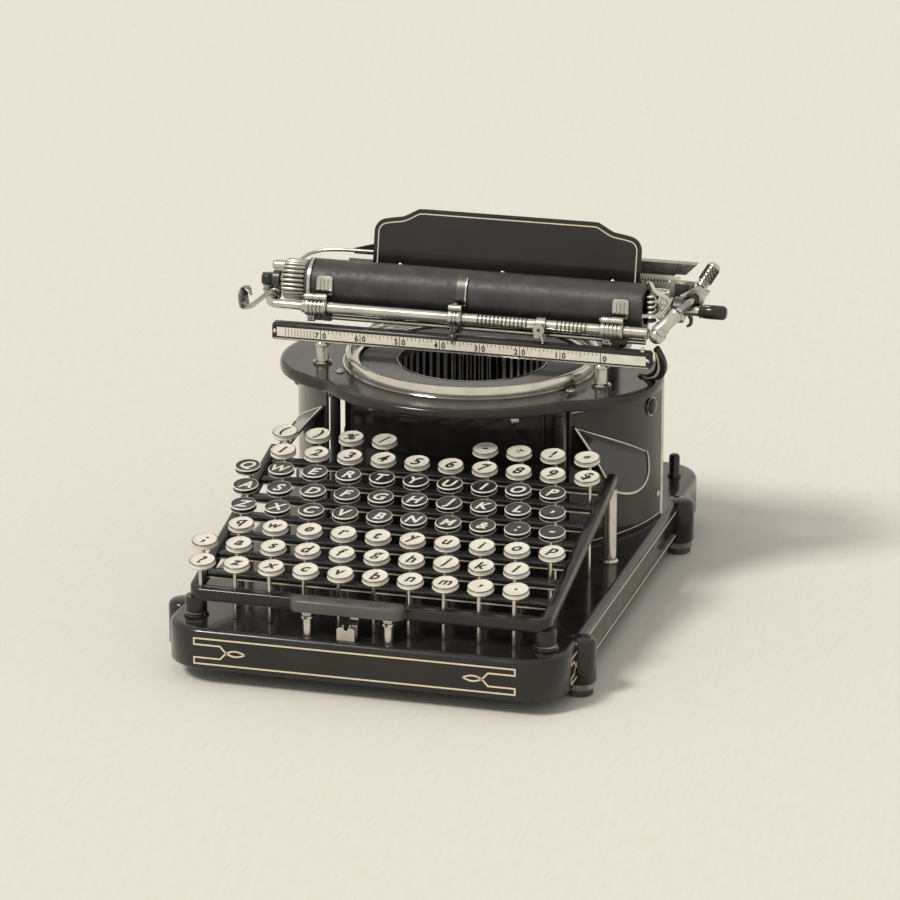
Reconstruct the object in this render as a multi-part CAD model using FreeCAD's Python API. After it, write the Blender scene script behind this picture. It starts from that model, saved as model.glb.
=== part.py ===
"""Full-keyboard understroke typewriter, built as separate pieces in one frame.

Millimetres, +X to the typist's right, +Y away from the typist, +Z up. The origin lies on the table
under the middle of the machine. Each piece, or group of like pieces, is one STEP file in parts/.
"""

import FreeCAD, Part
import math
import os

V = FreeCAD.Vector

# ---------------------------------------------------------------- driving dimensions
# Base casting
BASE_WIDTH = 243.0
BASE_FRONT_MARGIN = 21.9
BASE_REAR_MARGIN = 44.5
BASE_BOTTOM = 10.0
BASE_TOP = 35.0
BASE_CORNER = 26.0
BASE_WALL = 4.0
BASE_EDGE = 4.0
DECK = 3.0

# Feet
FOOT_RADIUS = 8.4
SOCKET_RADIUS = 9.3
SOCKET_TOP_GAP = 1.5
FOOT_FRONT_IN = 47.5
FOOT_REAR_IN = 72.5
PEG_X = 108.0
PEG_IN = 29.5
PEG_RADIUS = 3.5
PEG_HEIGHT = 15.0

# Keyboard
KEY_PITCH = 21.1
ROW_DEPTH = 21.0
ROW_RISE = 4.7
STAGGER = KEY_PITCH / 4
FIRST_KEY_X = -100.9
FIRST_KEY_Y = -165.6
FIRST_KEY_TOP = 71.0
CAP_RADIUS = 7.8
CAP_HEIGHT = 4.0
STEM = 2.2
KEY_TRAVEL = 7.2
KEY_TILT = 10.0
GUIDE_CLEARANCE = 0.45
ROW_COLUMNS = [
    range(0, 10),
    range(0, 10),
    range(1, 11),
    range(1, 11),
    range(1, 11),
    range(1, 11),
    range(2, 12),
    [2, 3, 4, 5, 8, 9, 10, 11],
]

# Keyboard frame
RAIL_X = 106.5
RAIL_WIDTH = 6.5
RAIL_HEIGHT = 7.5
RAIL_DROP = 17.2
RAIL_REAR_REACH = 13.0
RAIL_CORNER = 9.0
FRONT_BAR_WIDTH = 9.0
SLAT_WIDTH = 9.0
SLAT_HEIGHT = 4.0
SLAT_DROP = 1.5
POST_RADIUS = 6.5
REAR_POST_RADIUS = 4.2

# Key levers
LEVER_THICK = 1.0
LEVER_HEIGHT = 5.5
LEVER_TOP = 24.5
FULCRUM_IN = 22.5
FULCRUM_RADIUS = 2.0
RUNNING_FIT = 0.05
PIECE_GAP = 0.3

# Space bar
SPACE_BAR_LENGTH = 69.0
SPACE_BAR_DEPTH = 13.0
SPACE_BAR_THICK = 8.0
SPACE_BAR_X = -8.5
SPACE_BAR_AHEAD = 12.8
SPACE_BAR_TOP = 58.0
SPACE_POST_RADIUS = 3.0
SPACE_POST_SPACING = 49.0
SPACE_TRAVEL = 5.0

# Body
BODY_Y = 95.0
SHELL_RADIUS = 117.0
SHELL_THICK = 1.6
SHELL_END_Y = 84.0
COLUMN_X = 70.5
COLUMN_Y = 4.0
COLUMN_RADIUS = 3.2
REAR_COLUMN_Y = 143.0
PANEL_HALF = 60.0
PANEL_BULGE = 7.0
PANEL_THICK = 2.0

# Top plate and ring
PLATE_TOP = 130.5
PLATE_THICK = 6.5
EAR_X = 57.0
EAR_Y = 62.0
EAR_RADIUS = 64.0
REAR_PLATE_HALF = 84.0
REAR_PLATE_Y = 152.0
RING_Y = 65.0
BULGE_RADIUS = 99.0
RING_RADIUS = 78.8
RING_HEIGHT = 8.0
RING_WALL = 3.5
WELL_RADIUS = 70.0
PAD_INNER = 49.0
PAD_HEIGHT = 5.0

# Type basket
TYPE_BARS = 78
BAR_RING = 60.0
HANGER_Z = 62.0
HANGER_HEIGHT = 4.0
BAR_WIDTH = 1.2
BAR_DEPTH = 3.0

# Scale bar
SCALE_LENGTH = 241.0
SCALE_Y = 37.6
SCALE_TOP = 155.0
SCALE_HEIGHT = 10.5
SCALE_DEPTH = 7.0
SCALE_POST_X = 88.8
SCALE_POST_RADIUS = 4.0

# Carriage
WAY_Y = 112.0
WAY_Z = 187.0
WAY_DEPTH = 6.0
WAY_HEIGHT = 7.0
WAY_LEFT = -72.0
WAY_RIGHT = 131.5
WAY_POSTS = (-66.0, 77.0)
TRUCK_X = 30.0
CROSS_Y = 101.0
CROSS_Z = 172.0
TRUCK_LENGTH = 18.0
RAIL_Y = 42.0
RAIL_Z = 165.0
RAIL_TUBE_RADIUS = 3.7
THIN_ROD_Z = 158.6
THIN_ROD_RADIUS = 1.6
ROLLER_RADIUS = 2.7
SIDE_X = 123.0
SIDE_TUBE_RADIUS = 3.4
PLATEN_Y = 62.0
PLATEN_Z = 175.5
PLATEN_RADIUS = 14.3
PLATEN_LEFT = -104.0
PLATEN_RIGHT = 111.0
SHAFT_RADIUS = 3.2
RATCHET_LENGTH = 15.0
RATCHET_RADIUS = 13.0
FLUTES = 20
KNOB_RADIUS = 4.4
KNOB_LENGTH = 17.0
KNOB_OUT = 9.7
LEVER_HUB_RADIUS = 9.0
LEVER_HUB_LENGTH = 6.0
BUSH_RADIUS = 5.0
SPOON_REACH = 28.7
TABLE_LEFT = -70.0
TABLE_RIGHT = 101.0
TABLE_BOTTOM = 180.5
TABLE_TOP = 219.0
TABLE_THICK = 2.0
TABLE_Y = 84.0
TABLE_TILT = 12.0

# Escapement
RACK_PITCH = 4.0
RACK_LEFT = -72.0
RACK_RIGHT = 112.0
ESCAPE_X = 20.0
ESCAPE_TEETH = 24
DRUM_RADIUS = 20.0
DRUM_LENGTH = 14.0

# ---------------------------------------------------------------- derived values
HALF_WIDTH = BASE_WIDTH / 2
BASE_FRONT_Y = FIRST_KEY_Y - BASE_FRONT_MARGIN
BASE_REAR_Y = REAR_COLUMN_Y + BASE_REAR_MARGIN
BASE_DEPTH = BASE_REAR_Y - BASE_FRONT_Y
BASE_MIDDLE_Y = (BASE_REAR_Y + BASE_FRONT_Y) / 2
FOOT_FRONT_Y = BASE_FRONT_Y + FOOT_FRONT_IN
FOOT_REAR_Y = BASE_REAR_Y - FOOT_REAR_IN
PEG_Y = BASE_REAR_Y - PEG_IN
FULCRUM_Y = BASE_REAR_Y - FULCRUM_IN
SPACE_BAR_Y = FIRST_KEY_Y - SPACE_BAR_AHEAD
DECK_BOTTOM = BASE_TOP - DECK
LEVER_OFFSET = KEY_PITCH / 16
KEY_SLOPE = math.atan2(ROW_RISE, ROW_DEPTH)
PLATE_BOTTOM = PLATE_TOP - PLATE_THICK
RING_TOP = PLATE_TOP + RING_HEIGHT
ESCAPE_RADIUS = RACK_PITCH * ESCAPE_TEETH / (2 * math.pi)
RACK_Z = WAY_Z - 12.0
RACK_TOOTH = 2.2
MESH = 0.6


# ---------------------------------------------------------------- helpers
def box(x0, y0, z0, x1, y1, z1):
    """A block from its two opposite corners."""
    return Part.makeBox(x1 - x0, y1 - y0, z1 - z0, V(x0, y0, z0))


def cylinder(radius, start, end):
    """A round bar from one point to another."""
    a, b = V(*start), V(*end)
    return Part.makeCylinder(radius, (b - a).Length, a, b - a)


def facet_rod(radius, start, end, sides=12):
    """A round bar drawn with a few flats, for the small pieces that there are many of."""
    a, b = V(*start), V(*end)
    way = (b - a).normalize()
    across = V(1, 0, 0) if abs(way.x) < 0.9 else V(0, 1, 0)
    across = (across - way * across.dot(way)).normalize()
    other = way.cross(across)
    turn = [2 * math.pi * (n + 0.5) / sides for n in range(sides)]
    ring = [a + (across * math.cos(t) + other * math.sin(t)) * radius for t in turn]
    return Part.Face(Part.makePolygon(ring + ring[:1])).extrude(b - a)


def facet_bore(radius, start, end, sides=12):
    """A hole with flats that just clear a bar of the given radius."""
    return facet_rod(radius / math.cos(math.pi / sides), start, end, sides)


def facet_ring(inner, outer, z0, z1, x, y, sides=36):
    """A flat ring drawn with a few flats."""
    whole = facet_rod(outer, (x, y, z0), (x, y, z1), sides)
    return whole.cut(facet_rod(inner, (x, y, z0 - 1), (x, y, z1 + 1), sides))


def prism(points, direction):
    """A flat outline through the points, pushed along a direction."""
    ring = [V(*p) for p in points]
    return Part.Face(Part.makePolygon(ring + ring[:1])).extrude(V(*direction))


def bent_rod(points, radius, bend):
    """A round bar that runs straight between its points and turns each corner on an arc."""
    points = [V(*p) for p in points]
    edges, start = [], points[0]
    for before, corner, after in zip(points, points[1:], points[2:]):
        into = (corner - before).normalize()
        out = (after - corner).normalize()
        half = into.getAngle(out) / 2
        reach = bend * math.tan(half)
        first, last = corner - into * reach, corner + out * reach
        middle = corner + (out - into).normalize() * (bend / math.cos(half) - bend)
        edges += [Part.LineSegment(start, first).toShape(), Part.Arc(first, middle, last).toShape()]
        start = last
    edges.append(Part.LineSegment(start, points[-1]).toShape())
    profile = Part.Wire([Part.makeCircle(radius, points[0], points[1] - points[0])])
    return Part.Wire(edges).makePipeShell([profile], True, True)


def slab(width, depth, radius, z0, z1, x=0.0, y=0.0):
    """An upright block with rounded vertical corners."""
    block = box(x - width / 2, y - depth / 2, z0, x + width / 2, y + depth / 2, z1)
    upright = [e for e in block.Edges if abs(e.Vertexes[0].Point.z - e.Vertexes[1].Point.z) > 1e-6]
    return block.makeFillet(radius, upright)


def edges_at(shape, z):
    """The edges of a shape that lie wholly at one height."""
    return [e for e in shape.Edges if abs(e.BoundBox.ZMin - z) < 1e-4 and abs(e.BoundBox.ZMax - z) < 1e-4]


def edges_at_y(shape, y):
    """The edges that lie whole at one depth."""
    return [e for e in shape.Edges if abs(e.BoundBox.YMin - y) < 1e-4 and abs(e.BoundBox.YMax - y) < 1e-4]


def revolve_profile(points, x, y):
    """A ring made by turning a profile of (radius, height) points about an upright axis."""
    ring = [V(x + r, y, z) for r, z in points]
    face = Part.Face(Part.makePolygon(ring + ring[:1]))
    return face.revolve(V(x, y, 0), V(0, 0, 1), 360)


def fuse(shapes):
    """One solid from shapes that meet."""
    whole = shapes[0].multiFuse(shapes[1:]) if len(shapes) > 1 else shapes[0]
    return whole.removeSplitter()


def mirrored(shape):
    """The same piece on the other side of the machine."""
    return shape.mirror(V(0, 0, 0), V(1, 0, 0))


def save(name, shapes):
    """Writes one node, which may be a group of separate solids."""
    solids = [s for shape in shapes for s in shape.Solids]
    whole = solids[0] if len(solids) == 1 else Part.makeCompound(solids)
    if not whole.isValid():
        print("not valid:", name)
    whole.exportStep(f"parts/{name}.step")


# ---------------------------------------------------------------- keyboard layout
def key_points(row):
    """The (x, y, top) of each key of a row, counted from 0 at the front."""
    y = FIRST_KEY_Y + ROW_DEPTH * row
    top = FIRST_KEY_TOP + ROW_RISE * row
    return [(FIRST_KEY_X + KEY_PITCH * c - STAGGER * row, y, top) for c in ROW_COLUMNS[row]]


def lever_x(row, key_x):
    """The levers of the front and rear halves of the keyboard lie side by side."""
    return key_x + (-LEVER_OFFSET if row < len(ROW_COLUMNS) / 2 else LEVER_OFFSET)


def key_plane(y):
    """Height of the key tops at a depth."""
    return FIRST_KEY_TOP + ROW_RISE / ROW_DEPTH * (y - FIRST_KEY_Y)


def stem_hole(x, y, z0, z1):
    """The square hole that guides one stem."""
    half = STEM / 2 + GUIDE_CLEARANCE
    return box(x - half, y - half, z0, x + half, y + half, z1)


# ---------------------------------------------------------------- base
def base_casting():
    """Deck and skirt in one hollow casting, with foot sockets, fulcrum lugs and two cover pegs."""
    body = slab(BASE_WIDTH, BASE_DEPTH, BASE_CORNER, BASE_BOTTOM, BASE_TOP, 0, BASE_MIDDLE_Y)
    body = body.makeChamfer(BASE_EDGE, edges_at(body, BASE_TOP))
    inside = slab(
        BASE_WIDTH - 2 * BASE_WALL,
        BASE_DEPTH - 2 * BASE_WALL,
        BASE_CORNER - BASE_WALL,
        BASE_BOTTOM - 1,
        DECK_BOTTOM,
        0,
        BASE_MIDDLE_Y,
    )
    body = body.cut(inside)
    added = []
    for side in (-1, 1):
        for y in (FOOT_FRONT_Y, FOOT_REAR_Y):
            low, high = BASE_BOTTOM - 2, BASE_TOP - SOCKET_TOP_GAP
            socket = facet_rod(SOCKET_RADIUS, (side * HALF_WIDTH, y, low), (side * HALF_WIDTH, y, high))
            added.append(socket.makeChamfer(BASE_EDGE / 2, edges_at(socket, high)))
        added.append(facet_rod(PEG_RADIUS, (side * PEG_X, PEG_Y, DECK_BOTTOM), (side * PEG_X, PEG_Y, BASE_TOP + PEG_HEIGHT)))
        lug_x = side * (HALF_WIDTH - BASE_WALL - 3)
        added.append(box(lug_x - 3.5, FULCRUM_Y - 6, BASE_BOTTOM + 3, lug_x + 3.5, FULCRUM_Y + 6, DECK_BOTTOM))
    body = fuse([body] + added)
    holes = [facet_bore(FULCRUM_RADIUS, (-HALF_WIDTH + BASE_WALL, FULCRUM_Y, FULCRUM_Z), (HALF_WIDTH - BASE_WALL, FULCRUM_Y, FULCRUM_Z))]
    for row in range(len(ROW_COLUMNS)):
        points = key_points(row)
        if row < 2:
            holes += [stem_hole(lever_x(row, x), y, DECK_BOTTOM - 1, BASE_TOP + 1) for x, y, _ in points]
        else:
            half = STEM / 2 + GUIDE_CLEARANCE
            first, last = lever_x(row, points[0][0]), lever_x(row, points[-1][0])
            y = points[0][1]
            holes.append(box(first - half, y - half, DECK_BOTTOM - 1, last + half, y + half, BASE_TOP + 1))
    well = Part.Ellipse(V(0, RING_Y, DECK_BOTTOM - 1), WELL_HALF_WIDTH, WELL_HALF_DEPTH).toShape()
    holes.append(prism(well.discretize(RING_SIDES + 1)[:-1], (0, 0, DECK + 2)))
    for x in space_post_x():
        hole = SPACE_POST_RADIUS + PIECE_GAP
        holes.append(facet_bore(hole, (x, SPACE_BAR_Y, DECK_BOTTOM - 1), (x, SPACE_BAR_Y, BASE_TOP + 1)))
    holes.append(box(*SPACE_SLOT[0], DECK_BOTTOM - 1, *SPACE_SLOT[1], BASE_TOP + 1))
    save("base_casting", [body.cut(Part.makeCompound(holes))])


def rubber_feet():
    """Four rubber buttons under the sockets."""
    feet = []
    for side in (-1, 1):
        for y in (FOOT_FRONT_Y, FOOT_REAR_Y):
            feet.append(facet_rod(FOOT_RADIUS, (side * HALF_WIDTH, y, 0), (side * HALF_WIDTH, y, BASE_BOTTOM - 2)))
    save("rubber_feet", feet)


# ---------------------------------------------------------------- keyboard
def keys():
    """Each row: round key tops on square-drawn stems that reach down to their levers."""
    for row in range(len(ROW_COLUMNS)):
        solids = []
        for x, y, top in key_points(row):
            cap = facet_rod(CAP_RADIUS, (x, y, top - CAP_HEIGHT), (x, y, top), CAP_SIDES)
            cap.rotate(V(x, y, top - CAP_HEIGHT), V(1, 0, 0), KEY_TILT)
            solids.append(cap)
            sx = lever_x(row, x)
            half = STEM / 2
            bottom = LEVER_TOP + PIECE_GAP
            stem = box(sx - half, y - half, bottom, sx + half, y + half, top - CAP_HEIGHT)
            solids.append(stem.cut(cap))
        save(f"keys_row{row + 1}", solids)


def levers():
    """Each row: long flat levers on edge, which rock on the fulcrum shaft under their rear ends."""
    low = LEVER_TOP - LEVER_HEIGHT
    half = LEVER_THICK / 2
    for row in range(len(ROW_COLUMNS)):
        solids = []
        for key_x, y, _ in key_points(row):
            x = lever_x(row, key_x)
            solids.append(box(x - half, y - STEM, low, x + half, FULCRUM_Y + 2 * FULCRUM_RADIUS, LEVER_TOP))
        save(f"levers_row{row + 1}", solids)
    reach = HALF_WIDTH - BASE_WALL
    save("lever_fulcrum_shaft", [cylinder(FULCRUM_RADIUS, (-reach, FULCRUM_Y, FULCRUM_Z), (reach, FULCRUM_Y, FULCRUM_Z))])


def keyboard_frame():
    """Two sloping rails joined by a front bar on round posts, with a slat under each row of keys."""
    front = FIRST_KEY_Y - FRONT_BAR_WIDTH / 2
    rear = FIRST_KEY_Y + ROW_DEPTH * (len(ROW_COLUMNS) - 1) + RAIL_REAR_REACH
    width = 2 * RAIL_X + RAIL_WIDTH
    above = 2 * PLATE_TOP
    outer = slab(width, 2 * (rear - front), RAIL_CORNER, 0, above, 0, rear)
    inner = slab(width - 2 * RAIL_WIDTH, 2 * (rear - front - FRONT_BAR_WIDTH), 4, -1, above + 1, 0, rear)
    plan = outer.cut(inner).cut(box(-width, rear, -1, width, rear + 2 * BASE_DEPTH, above + 1))
    bar_top = key_plane(FIRST_KEY_Y) - RAIL_DROP

    def rail_top(y):
        return key_plane(y) - RAIL_DROP

    side = [
        (-width, front - 1, bar_top - RAIL_HEIGHT),
        (-width, front - 1, bar_top),
        (-width, FIRST_KEY_Y, bar_top),
        (-width, rear, rail_top(rear)),
        (-width, rear, rail_top(rear) - RAIL_HEIGHT),
        (-width, FIRST_KEY_Y, bar_top - RAIL_HEIGHT),
    ]
    frame = plan.common(prism(side, (2 * width, 0, 0)))
    inside = RAIL_X - RAIL_WIDTH / 2
    holes = [stem_hole(lever_x(0, x), y, 0, top) for x, y, top in key_points(0)]
    holes += [rail_hole(row, x, inside) for row, x in stems_in_rails(inside)]
    holes = Part.makeCompound(holes)
    save("keyboard_frame", [frame.cut(holes)])

    slats = []
    half = STEM / 2 + GUIDE_CLEARANCE
    for row in range(1, len(ROW_COLUMNS)):
        y = key_points(row)[0][1]
        top = rail_top(y) - SLAT_DROP
        slat = box(-inside, y - SLAT_WIDTH / 2, top - SLAT_HEIGHT, inside, y + SLAT_WIDTH / 2, top)
        through = [lever_x(row, x) for x, _, _ in key_points(row) if (row, x) not in stems_in_rails(inside)]
        slot = box(through[0] - half, y - half, top - SLAT_HEIGHT - 1, through[-1] + half, y + half, top + 1)
        slats.append(slat.cut(slot).cut(holes))
    save("key_guide_slats", slats)

    posts = []
    post_y = FIRST_KEY_Y + 2.1
    for side in (-1, 1):
        post = facet_rod(POST_RADIUS, (side * FRONT_POST_X, post_y, BASE_TOP), (side * FRONT_POST_X, post_y, bar_top - RAIL_HEIGHT))
        posts.append(post.cut(stem_hole(lever_x(0, key_points(0)[0][0]), FIRST_KEY_Y, 0, 100)))
        y = rear - REAR_POST_RADIUS
        top = rail_top(y) - RAIL_HEIGHT
        under = facet_rod(REAR_POST_RADIUS, (side * RAIL_X, y, BASE_TOP), (side * RAIL_X, y, top + RAIL_HEIGHT))
        posts.append(under.cut(above_rails(y, width, rail_top)))
    save("keyboard_posts", posts)


def above_rails(y, width, rail_top):
    """The space over the sloping underside of the rails, near a depth."""
    near, far = y - 2 * RAIL_WIDTH, y + 2 * RAIL_WIDTH
    outline = [
        (-width, near, rail_top(near) - RAIL_HEIGHT),
        (-width, far, rail_top(far) - RAIL_HEIGHT),
        (-width, far, PLATE_TOP),
        (-width, near, PLATE_TOP),
    ]
    return prism(outline, (2 * width, 0, 0))


def stems_in_rails(inside):
    """The (row, key x) of the stems that pass down through a side rail."""
    half = STEM / 2 + GUIDE_CLEARANCE
    ends = [(row, key_points(row)[end][0]) for row in range(1, len(ROW_COLUMNS)) for end in (0, -1)]
    return [(row, x) for row, x in ends if abs(lever_x(row, x)) + half > inside - RAIL_BRIDGE]


def rail_hole(row, x, inside):
    """The hole of one such stem, open to the inner side where too thin a wall would be left."""
    half = STEM / 2 + GUIDE_CLEARANCE
    sx = lever_x(row, x)
    y = key_points(row)[0][1]
    hole = stem_hole(sx, y, 0, 200)
    if abs(sx) - half < inside + RAIL_BRIDGE:
        notch = math.copysign(inside - 1.5, sx)
        hole = hole.fuse(box(min(sx, notch), y - half, 0, max(sx, notch), y + half, 200))
    return hole


def space_post_x():
    """The two places of the space bar's posts."""
    return [SPACE_BAR_X - SPACE_POST_SPACING / 2, SPACE_BAR_X + SPACE_POST_SPACING / 2]


def space_bar():
    """The bar on two nickelled posts that slide in the deck, and the lever that it works."""
    bottom = SPACE_BAR_TOP - SPACE_BAR_THICK
    ends = []
    for side in (-1, 1):
        x = SPACE_BAR_X + side * (SPACE_BAR_LENGTH / 2 - SPACE_END)
        for angle in range(-60, 61, 30):
            turn = math.radians(angle)
            ends.append((x + side * SPACE_END * math.cos(turn), SPACE_BAR_Y + side * SPACE_BAR_DEPTH / 2 * math.sin(turn) / math.sin(math.radians(60)), bottom))
    bar = prism(ends, (0, 0, SPACE_BAR_THICK))
    save("space_bar", [bar.makeChamfer(1.5, edges_at(bar, SPACE_BAR_TOP))])
    posts = []
    for x in space_post_x():
        stem = facet_rod(SPACE_POST_RADIUS, (x, SPACE_BAR_Y, LEVER_TOP + PIECE_GAP), (x, SPACE_BAR_Y, bottom))
        collar = facet_rod(SPACE_POST_RADIUS + 1.2, (x, SPACE_BAR_Y, bottom - 4), (x, SPACE_BAR_Y, bottom))
        posts.append(fuse([stem, collar]))
    save("space_bar_posts", posts)
    half = SPACE_LINK_WIDTH / 2
    y0, y1 = SPACE_LINK_Y, SPACE_LINK_Y + SPACE_LINK_THICK
    outline = [
        (SPACE_BAR_X - half, y0, LEVER_TOP + 2.0),
        (SPACE_BAR_X - half, y0, BASE_TOP + 9),
        (SPACE_BAR_X - half, SPACE_BAR_Y + 1, bottom),
        (SPACE_BAR_X - half, SPACE_BAR_Y + 5, bottom),
        (SPACE_BAR_X - half, y1, BASE_TOP + 7),
        (SPACE_BAR_X - half, y1, LEVER_TOP + 2.0),
    ]
    save("space_lever", [prism(outline, (SPACE_LINK_WIDTH, 0, 0))])
    front = SPACE_LINK_Y - PIECE_GAP
    wide = half + 1.5
    guide = box(SPACE_BAR_X - wide, front - 3.2, BASE_TOP, SPACE_BAR_X + wide, front, SPACE_GUIDE_TOP)
    pin = facet_rod(1.2, (SPACE_BAR_X, front - 1.6, SPACE_GUIDE_TOP - 1), (SPACE_BAR_X, front - 1.6, SPACE_GUIDE_TOP + 1.2))
    save("space_guide", [fuse([guide, pin])])


# ---------------------------------------------------------------- body
def shell_x(y):
    """Half the width of the shells at a depth."""
    return math.sqrt(SHELL_RADIUS**2 - (y - BODY_Y) ** 2)


def shell_sheet(side, start_y, end_y, z0, z1):
    """A curved sheet along the round body between two depths."""

    def point(radius, y_on_shell):
        angle = math.asin((y_on_shell - BODY_Y) / SHELL_RADIUS)
        return V(side * radius * math.cos(angle), BODY_Y + radius * math.sin(angle), z0)

    middle_y = (start_y + end_y) / 2
    outer = [point(SHELL_RADIUS, y) for y in (start_y, middle_y, end_y)]
    inner = [point(SHELL_RADIUS - SHELL_THICK, y) for y in (start_y, middle_y, end_y)]
    wire = Part.Wire(
        [
            Part.Arc(*outer).toShape(),
            Part.LineSegment(outer[2], inner[2]).toShape(),
            Part.Arc(*reversed(inner)).toShape(),
            Part.LineSegment(inner[0], outer[0]).toShape(),
        ]
    )
    return Part.Face(wire).extrude(V(0, 0, z1 - z0))


def body():
    """Columns, the bowed front panel, the curved side shells, the rear panel and the wings."""
    columns = []
    for x, y in [(s * COLUMN_X, yy) for s in (-1, 1) for yy in (COLUMN_Y, REAR_COLUMN_Y)]:
        columns.append(facet_rod(COLUMN_RADIUS, (x, y, BASE_TOP), (x, y, PLATE_BOTTOM)))
    save("body_columns", columns)

    shells = []
    for side in (-1, 1):
        start = COLUMN_Y + 3.0
        sheet = shell_sheet(side, start, SHELL_END_Y, BASE_TOP, PLATE_BOTTOM)
        bead_x = side * (shell_x(SHELL_END_Y) - SHELL_THICK / 2)
        bead = facet_rod(2.0, (bead_x, SHELL_END_Y, BASE_TOP), (bead_x, SHELL_END_Y, PLATE_BOTTOM))
        shells.append(fuse([sheet, bead]))
    save("side_shells", shells)

    z0, z1 = BASE_TOP, PLATE_BOTTOM
    front_y = COLUMN_Y + 2.0

    def bowed(offset):
        return Part.Arc(V(-PANEL_HALF, front_y + offset, z0), V(0, front_y + offset - PANEL_BULGE, z0), V(PANEL_HALF, front_y + offset, z0))

    wire = Part.Wire(
        [
            bowed(0).toShape(),
            Part.LineSegment(V(PANEL_HALF, front_y, z0), V(PANEL_HALF, front_y + PANEL_THICK, z0)).toShape(),
            bowed(PANEL_THICK).toShape(),
            Part.LineSegment(V(-PANEL_HALF, front_y + PANEL_THICK, z0), V(-PANEL_HALF, front_y, z0)).toShape(),
        ]
    )
    save("front_panel", [Part.Face(wire).extrude(V(0, 0, z1 - z0))])
    y = REAR_COLUMN_Y - PANEL_THICK / 2
    reach = COLUMN_X - COLUMN_RADIUS
    save("rear_panel", [box(-reach, y, z0, reach, y + PANEL_THICK, BASE_TOP + REAR_PANEL_HEIGHT)])

    wing = side_wing()
    save("side_wings", [wing, mirrored(wing)])


def on_shell(y, z, clear):
    """A point just outside the right side shell."""
    angle = math.asin((y - BODY_Y) / SHELL_RADIUS)
    reach = SHELL_RADIUS + clear
    return V(reach * math.cos(angle), BODY_Y + reach * math.sin(angle), z)


def side_wing():
    """A horn of sheet metal that fans from the front column out over the rail and back to the shell."""
    apex = on_shell(COLUMN_Y + 4.0, WING_TOP, 1.0)
    front = V(RAIL_X, COLUMN_Y - 8.0, WING_FRONT_Z)
    middle = V(SHELL_RADIUS + WING_PROUD, COLUMN_Y + 20.0, WING_FRONT_Z - 7)
    tip = on_shell(WING_END_Y, WING_END_Z, 1.6)
    rim = Part.Arc(front, middle, tip).toShape().discretize(WING_FACETS + 1)
    inward = ((rim[0] - apex).cross(rim[-1] - apex)).normalize() * WING_THICK
    if inward.x > 0:
        inward = inward * -1
    panels = []
    for a, b in zip(rim, rim[1:]):
        panels.append(Part.Face(Part.makePolygon([apex, a, b, apex])).extrude(inward))
    clear = SHELL_RADIUS + PIECE_GAP / 2
    shell = Part.makeCylinder(clear, PLATE_BOTTOM, V(0, BODY_Y, 0))
    return fuse(panels).cut(shell)


def top_plate():
    """A thick plate with a rounded rim: two round ears and a round bulge about the well."""
    bulge = Part.makeCylinder(BULGE_RADIUS, PLATE_THICK, V(0, RING_Y, PLATE_BOTTOM))
    rear = slab(2 * REAR_PLATE_HALF, REAR_PLATE_Y - RING_Y, 16.0, PLATE_BOTTOM, PLATE_TOP, 0, (REAR_PLATE_Y + RING_Y) / 2)
    parts = [bulge, rear]
    for side in (-1, 1):
        parts.append(Part.makeCylinder(EAR_RADIUS, PLATE_THICK, V(side * EAR_X, EAR_Y, PLATE_BOTTOM)))
    plate = fuse(parts)
    corners = []
    for e in plate.Edges:
        a, b = e.Vertexes[0].Point, e.Vertexes[-1].Point
        upright = math.hypot(a.x - b.x, a.y - b.y) < 1e-6 and abs(a.z - b.z) > 1
        on_bulge = abs(math.hypot(a.x, a.y - RING_Y) - BULGE_RADIUS) < 1e-3
        on_ear = abs(math.hypot(abs(a.x) - EAR_X, a.y - EAR_Y) - EAR_RADIUS) < 1e-3
        if upright and on_bulge and on_ear:
            corners.append(e)
    plate = plate.makeFillet(WAIST_RADIUS, corners)
    rim = [f for f in plate.Faces if abs(f.BoundBox.ZMax - PLATE_BOTTOM) < 1e-4][0].OuterWire
    points = []
    for edge in rim.OrderedEdges:
        steps = max(1, round(edge.Length / PLATE_STEP))
        run = edge.discretize(steps + 1)
        if edge.Orientation == "Reversed":
            run.reverse()
        points += run[:-1]
    plate = prism(points, (0, 0, PLATE_THICK))
    plate = plate.makeChamfer(RIM_RADIUS, edges_at(plate, PLATE_TOP) + edges_at(plate, PLATE_BOTTOM))
    well = facet_rod(WELL_RADIUS, (0, RING_Y, PLATE_BOTTOM - 1), (0, RING_Y, PLATE_TOP + 1), RING_SIDES)
    save("top_plate", [plate.cut(well)])


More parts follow.
